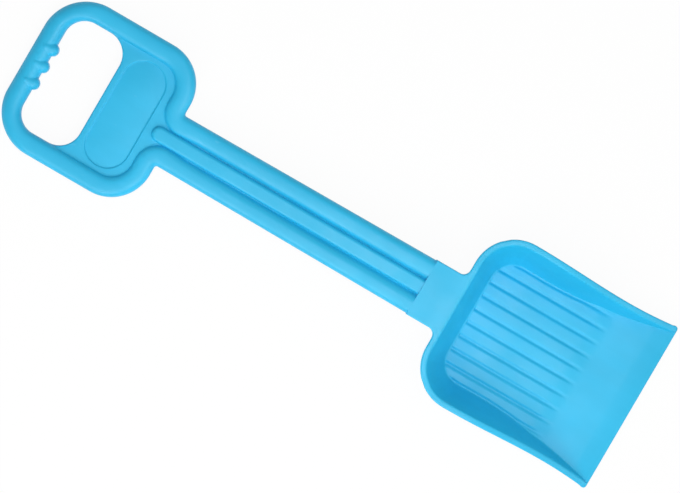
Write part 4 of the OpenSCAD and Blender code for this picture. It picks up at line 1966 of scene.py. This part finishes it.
    def tongue(self) -> bpy.types.Object:
        """Models the tongue that sits in the scoop's sleeve, a channel with a snap nose below.

        Returns:
            The tongue.
        """
        half, web = self.tongue_w / 2, self.tongue_web / 2
        play = self.sleeve_wall + self.fit
        low, high = self.sleeve_z + play, self.rim_h - play
        lean = math.tan(math.radians(self.draft))
        top, start = self.back_x + self.rim_out - 2 * self.fit, self.neck_x - self.tongue_lap
        ends = [top + (self.rim_h - z) * lean for z in (low, high)]
        outline = [(start, low), (ends[0], low), (ends[1], high), (start, high)]
        tongue = Bench.wedge("tongue", outline, -half, half)
        Bench.bevel(tongue, lambda edge: span_x(edge) > 5, self.tongue_round, 3)
        for side in (-1, 1):
            near, far = sorted((side * web, side * (half - self.skin)))
            corner = (self.back_x - self.skin, far, high - self.skin)
            pocket = Bench.block("pocket", (self.neck_x, near, low - self.over), corner)
            Bench.combine(tongue, pocket, "DIFFERENCE")
        x, z, root = (self.neck_x + self.back_x) / 2, self.sleeve_z + self.fit, low + self.over
        nose = [(x, z), (x + self.nose_top, z), (x + self.nose_l, root), (x, root)]
        Bench.combine(tongue, Bench.wedge("nose", nose, -web, web), "UNION")
        return tongue

    def build(self) -> bpy.types.Object:
        """Models the whole handle.

        Returns:
            The finished piece, lying in the shared frame.
        """
        handle = self.body()
        Bench.combine(handle, self.hollow(), "DIFFERENCE")
        Bench.combine(handle, self.tongue(), "UNION")
        Bench.close_up(handle)
        Bench.lay_down(handle, self.smooth_angle)
        return handle


class Wiring:
    """Adds nodes to a material's tree and links them."""

    def __init__(self, tree: bpy.types.NodeTree) -> None:
        """Starts on a tree.

        Args:
            tree: The material's node tree.
        """
        self.tree = tree
        self.place = tree.nodes.new("ShaderNodeTexCoord").outputs["Object"]

    def link(self, value: bpy.types.NodeSocket, target: bpy.types.NodeSocket) -> None:
        """Links a value to an input."""
        self.tree.links.new(value, target)

    def noise(
        self, scale: float, detail: float, stretch: Sequence[float] = (1, 1, 1)
    ) -> bpy.types.NodeSocket:
        """Adds a noise in Object coordinates.

        Args:
            scale: How fine it is, per metre.
            detail: How many finer layers it has.
            stretch: Factors on the three axes.

        Returns:
            Its value.
        """
        mapping = self.tree.nodes.new("ShaderNodeMapping")
        mapping.inputs["Scale"].default_value = stretch
        texture = self.tree.nodes.new("ShaderNodeTexNoise")
        texture.inputs["Scale"].default_value = scale
        texture.inputs["Detail"].default_value = detail
        self.link(self.place, mapping.inputs["Vector"])
        self.link(mapping.outputs["Vector"], texture.inputs["Vector"])
        return texture.outputs["Fac"]

    def span(self, value: bpy.types.NodeSocket, source: Row, target: Row) -> bpy.types.NodeSocket:
        """Maps a value from one range to another.

        Args:
            value: The value.
            source: The range that it comes from.
            target: The range that it goes to.

        Returns:
            The mapped value.
        """
        node = self.tree.nodes.new("ShaderNodeMapRange")
        for name, setting in zip(("From Min", "From Max", "To Min", "To Max"), source + target):
            node.inputs[name].default_value = setting
        self.link(value, node.inputs["Value"])
        return node.outputs["Result"]

    def maths(
        self, kind: str, a: bpy.types.NodeSocket, b: bpy.types.NodeSocket | float
    ) -> bpy.types.NodeSocket:
        """Joins two values.

        Args:
            kind: The operation, such as ADD or MULTIPLY.
            a: The first value.
            b: The second value, linked or plain.

        Returns:
            The result.
        """
        node = self.tree.nodes.new("ShaderNodeMath")
        node.operation = kind
        self.link(a, node.inputs[0])
        if isinstance(b, bpy.types.NodeSocket):
            self.link(b, node.inputs[1])
        else:
            node.inputs[1].default_value = b
        return node.outputs["Value"]

    def mix(self) -> bpy.types.Node:
        """Adds a node that mixes two colours.

        Returns:
            The node.
        """
        node = self.tree.nodes.new("ShaderNodeMix")
        node.data_type = "RGBA"
        return node

    def bump(self, height: bpy.types.NodeSocket, strength: float, deep: float) -> bpy.types.Node:
        """Adds a bump.

        Args:
            height: Its height, from 0 to 1.
            strength: How much of it shows.
            deep: How deep it is, in metres.

        Returns:
            The node.
        """
        node = self.tree.nodes.new("ShaderNodeBump")
        node.inputs["Strength"].default_value = strength
        node.inputs["Distance"].default_value = deep
        self.link(height, node.inputs["Height"])
        return node


@dataclass(frozen=True)
class MouldedPlastic:
    """Coloured polypropylene as it comes from the mould: fine grain, faint flow, light scuffs.

    Each noise is given by its scale per metre and its detail, each range by its two ends.
    """

    name: str
    colour: tuple[float, float, float] = (0.014, 0.475, 0.78)
    dark: float = 0.93
    bright: tuple[float, float, float] = (1.5, 1.05, 1.04)
    cloud_noise: Row = (16, 3)
    flow_noise: Row = (30, 4)
    flow_stretch: tuple[float, float, float] = (0.35, 1.6, 1.6)
    tint_range: Row = (0.72, 1.28)
    rough: float = 0.42
    gloss_noise: Row = (55, 5)
    gloss_range: Row = (0.3, 0.7)
    grain: Grain = Grain.SATIN
    # Spread of the roughness and strength of the fine grain
    satin: Row = (0.08, 0.2)
    polished: Row = (0.05, 0.12)
    fine_noise: Row = (1500, 2)
    fine_deep: float = 0.0001
    wavy_noise: Row = (48, 2)
    wavy_strength: float = 0.35
    wavy_deep: float = 0.0006
    scuffs: float = 0.25
    scuff_colour: tuple[float, float, float] = (0.30, 0.68, 0.86)
    scuff_noise: Row = (260, 5)
    scuff_stretch: tuple[float, float, float] = (0.35, 1, 1)
    scuff_range: Row = (0.66, 0.80)
    scuff_rough: float = 0.35
    patch_noise: Row = (22, 2)
    patch_range: Row = (0.50, 0.66)
    refraction: float = 1.49

    def build(self) -> bpy.types.Material:
        """Builds the material.

        Returns:
            A material whose colour, roughness and bump come from Object coordinates.
        """
        material = bpy.data.materials.new(self.name)
        material.use_nodes = True
        shader = material.node_tree.nodes["Principled BSDF"]
        shader.inputs["IOR"].default_value = self.refraction
        wiring = Wiring(material.node_tree)
        whole = (0.0, 1.0)
        clouds = wiring.noise(*self.cloud_noise)
        flow = wiring.noise(*self.flow_noise, self.flow_stretch)
        scratches = wiring.noise(*self.scuff_noise, self.scuff_stretch)
        scuff = wiring.span(scratches, self.scuff_range, (0.0, self.scuffs))
        patch = wiring.span(wiring.noise(*self.patch_noise), self.patch_range, whole)
        scuff = wiring.maths("MULTIPLY", scuff, patch)
        tint = wiring.mix()
        brightest = [c * more for c, more in zip(self.colour, self.bright)]
        tint.inputs["A"].default_value = (*[c * self.dark for c in self.colour], 1)
        tint.inputs["B"].default_value = (*brightest, 1)
        share = wiring.span(wiring.maths("ADD", clouds, flow), self.tint_range, whole)
        wiring.link(share, tint.inputs["Factor"])
        pale = wiring.mix()
        pale.inputs["B"].default_value = (*self.scuff_colour, 1)
        wiring.link(scuff, pale.inputs["Factor"])
        wiring.link(tint.outputs["Result"], pale.inputs["A"])
        wiring.link(pale.outputs["Result"], shader.inputs["Base Color"])
        spread, strength = self.polished if self.grain is Grain.POLISHED else self.satin
        roughs = (self.rough - spread, self.rough + spread)
        gloss = wiring.span(wiring.noise(*self.gloss_noise), self.gloss_range, roughs)
        gloss = wiring.maths("ADD", gloss, wiring.maths("MULTIPLY", scuff, self.scuff_rough))
        wiring.link(gloss, shader.inputs["Roughness"])
        fine = wiring.bump(wiring.noise(*self.fine_noise), strength, self.fine_deep)
        wavy = wiring.bump(wiring.noise(*self.wavy_noise), self.wavy_strength, self.wavy_deep)
        wiring.link(fine.outputs["Normal"], wavy.inputs["Normal"])
        wiring.link(wavy.outputs["Normal"], shader.inputs["Normal"])
        return material


@dataclass(frozen=True)
class Lamp:
    """One soft box: where it hangs, its size and its power."""

    name: str
    place: tuple[float, float, float]
    size: tuple[float, float]
    power: float
    aim: tuple[float, float, float] = (0.0, 0.0, 0.0)

    def hang(self) -> bpy.types.Object:
        """Adds the lamp to the scene, hidden from the camera.

        Returns:
            The lamp's object.
        """
        light = bpy.data.lights.new(self.name, "AREA")
        light.shape = "RECTANGLE"
        light.size, light.size_y = self.size
        light.energy = self.power
        lamp = bpy.data.objects.new(self.name, light)
        lamp.location = self.place
        sight = Vector(self.aim) - Vector(self.place)
        lamp.rotation_euler = sight.to_track_quat("-Z", "Y").to_euler()
        lamp.visible_camera = False
        bpy.context.scene.collection.objects.link(lamp)
        return lamp


@dataclass
class Studio:
    """Camera, pale floor, world and lamps, in metres."""

    target: tuple[float, float, float] = (0.008436, -0.0044385, 0.017)
    distance: float = 2.5
    lean_x: float = math.radians(-5.6)
    lean_y: float = math.radians(1.1)
    roll: float = math.radians(30.1244)
    pixels_per_mm: float = 1.4093
    photo_w: int = 680
    sensor: float = 36.0
    clip: float = 20.0
    floor_size: float = 6.0
    paper: float = 0.9
    paper_rough: float = 0.9
    paper_glow: float = 0.95
    world: float = 0.47
    lamps: tuple[Lamp, ...] = (
        Lamp("top_box", (0.095, -0.03, 0.75), (0.35, 0.35), 1.45),
        Lamp("high_box", (0.05, -0.55, 1.0), (0.6, 0.4), 2.2),
        Lamp("side_box", (0.0, -1.0, 0.75), (0.7, 0.5), 4.9),
        Lamp("far_box", (2.0, 0.0, 1.3), (1.0, 1.0), 7.5),
    )

    def camera(self) -> bpy.types.Object:
        """Sets the camera that the photograph was taken with.

        Returns:
            The camera, above the shovel and a little to the grip's side.
        """
        sx, sy = math.sin(self.lean_x), math.sin(self.lean_y)
        back = Vector((sx, sy, math.sqrt(1 - sx * sx - sy * sy)))
        across = (Vector((1, 0, 0)) - back * back.x).normalized()
        along = back.cross(across)
        right = math.cos(self.roll) * across + math.sin(self.roll) * along
        up = -math.sin(self.roll) * across + math.cos(self.roll) * along
        lens = bpy.data.cameras.new("camera")
        lens.sensor_fit = "HORIZONTAL"
        lens.sensor_width = self.sensor
        lens.lens = self.pixels_per_mm / MM * self.distance / self.photo_w * self.sensor
        lens.clip_end = self.clip
        camera = bpy.data.objects.new("camera", lens)
        turn = Matrix((right, up, back)).transposed().to_4x4()
        turn.translation = Vector(self.target) + self.distance * back
        camera.matrix_world = turn
        bpy.context.scene.collection.objects.link(camera)
        bpy.context.scene.camera = camera
        return camera

    def floor(self) -> bpy.types.Object:
        """Lays the pale floor that shows white and keeps the shovel's shadow.

        Returns:
            The floor.
        """
        Bench.clear()
        bpy.ops.mesh.primitive_plane_add(size=self.floor_size)
        floor = bpy.context.object
        floor.name = "floor"
        material = bpy.data.materials.new("floor")
        material.use_nodes = True
        tree = material.node_tree
        paper = tree.nodes["Principled BSDF"]
        paper.inputs["Base Color"].default_value = (self.paper, self.paper, self.paper, 1)
        paper.inputs["Roughness"].default_value = self.paper_rough
        glow = tree.nodes.new("ShaderNodeEmission")
        mix = tree.nodes.new("ShaderNodeMixShader")
        path = tree.nodes.new("ShaderNodeLightPath")
        share = tree.nodes.new("ShaderNodeMath")
        share.operation = "MULTIPLY"
        share.inputs[1].default_value = self.paper_glow
        tree.links.new(path.outputs["Is Camera Ray"], share.inputs[0])
        tree.links.new(share.outputs["Value"], mix.inputs["Fac"])
        tree.links.new(paper.outputs["BSDF"], mix.inputs[1])
        tree.links.new(glow.outputs["Emission"], mix.inputs[2])
        tree.links.new(mix.outputs["Shader"], tree.nodes["Material Output"].inputs["Surface"])
        floor.data.materials.append(material)
        return floor

    def light(self) -> None:
        """Sets the world and hangs the lamps."""
        world = bpy.data.worlds.new("world")
        world.use_nodes = True
        background = world.node_tree.nodes["Background"]
        background.inputs["Color"].default_value = (1, 1, 1, 1)
        background.inputs["Strength"].default_value = self.world
        bpy.context.scene.world = world
        for lamp in self.lamps:
            lamp.hang()

    def build(self) -> None:
        """Sets up the whole studio."""
        self.camera()
        self.floor()
        self.light()
        bpy.context.scene.view_settings.view_transform = "Standard"


def dress(piece: bpy.types.Object, material: bpy.types.Material) -> None:
    """Gives a piece one material all over."""
    piece.data.materials.clear()
    piece.data.materials.append(material)


def main() -> None:
    """Builds the pieces in order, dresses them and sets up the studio."""
    logging.basicConfig(level=logging.INFO, format="%(message)s")
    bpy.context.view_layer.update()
    scoop = Scoop().build()
    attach(scoop, "root")
    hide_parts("scoop")
    dress(scoop, MouldedPlastic("scoop_plastic").build())
    LOG.info("scoop: %d faces", len(scoop.data.polygons))
    handle = Handle().build()
    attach(handle, "root")
    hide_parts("handle")
    dress(handle, MouldedPlastic("handle_plastic").build())
    LOG.info("handle: %d faces", len(handle.data.polygons))
    Studio().build()


if __name__ == "__main__":
    main()
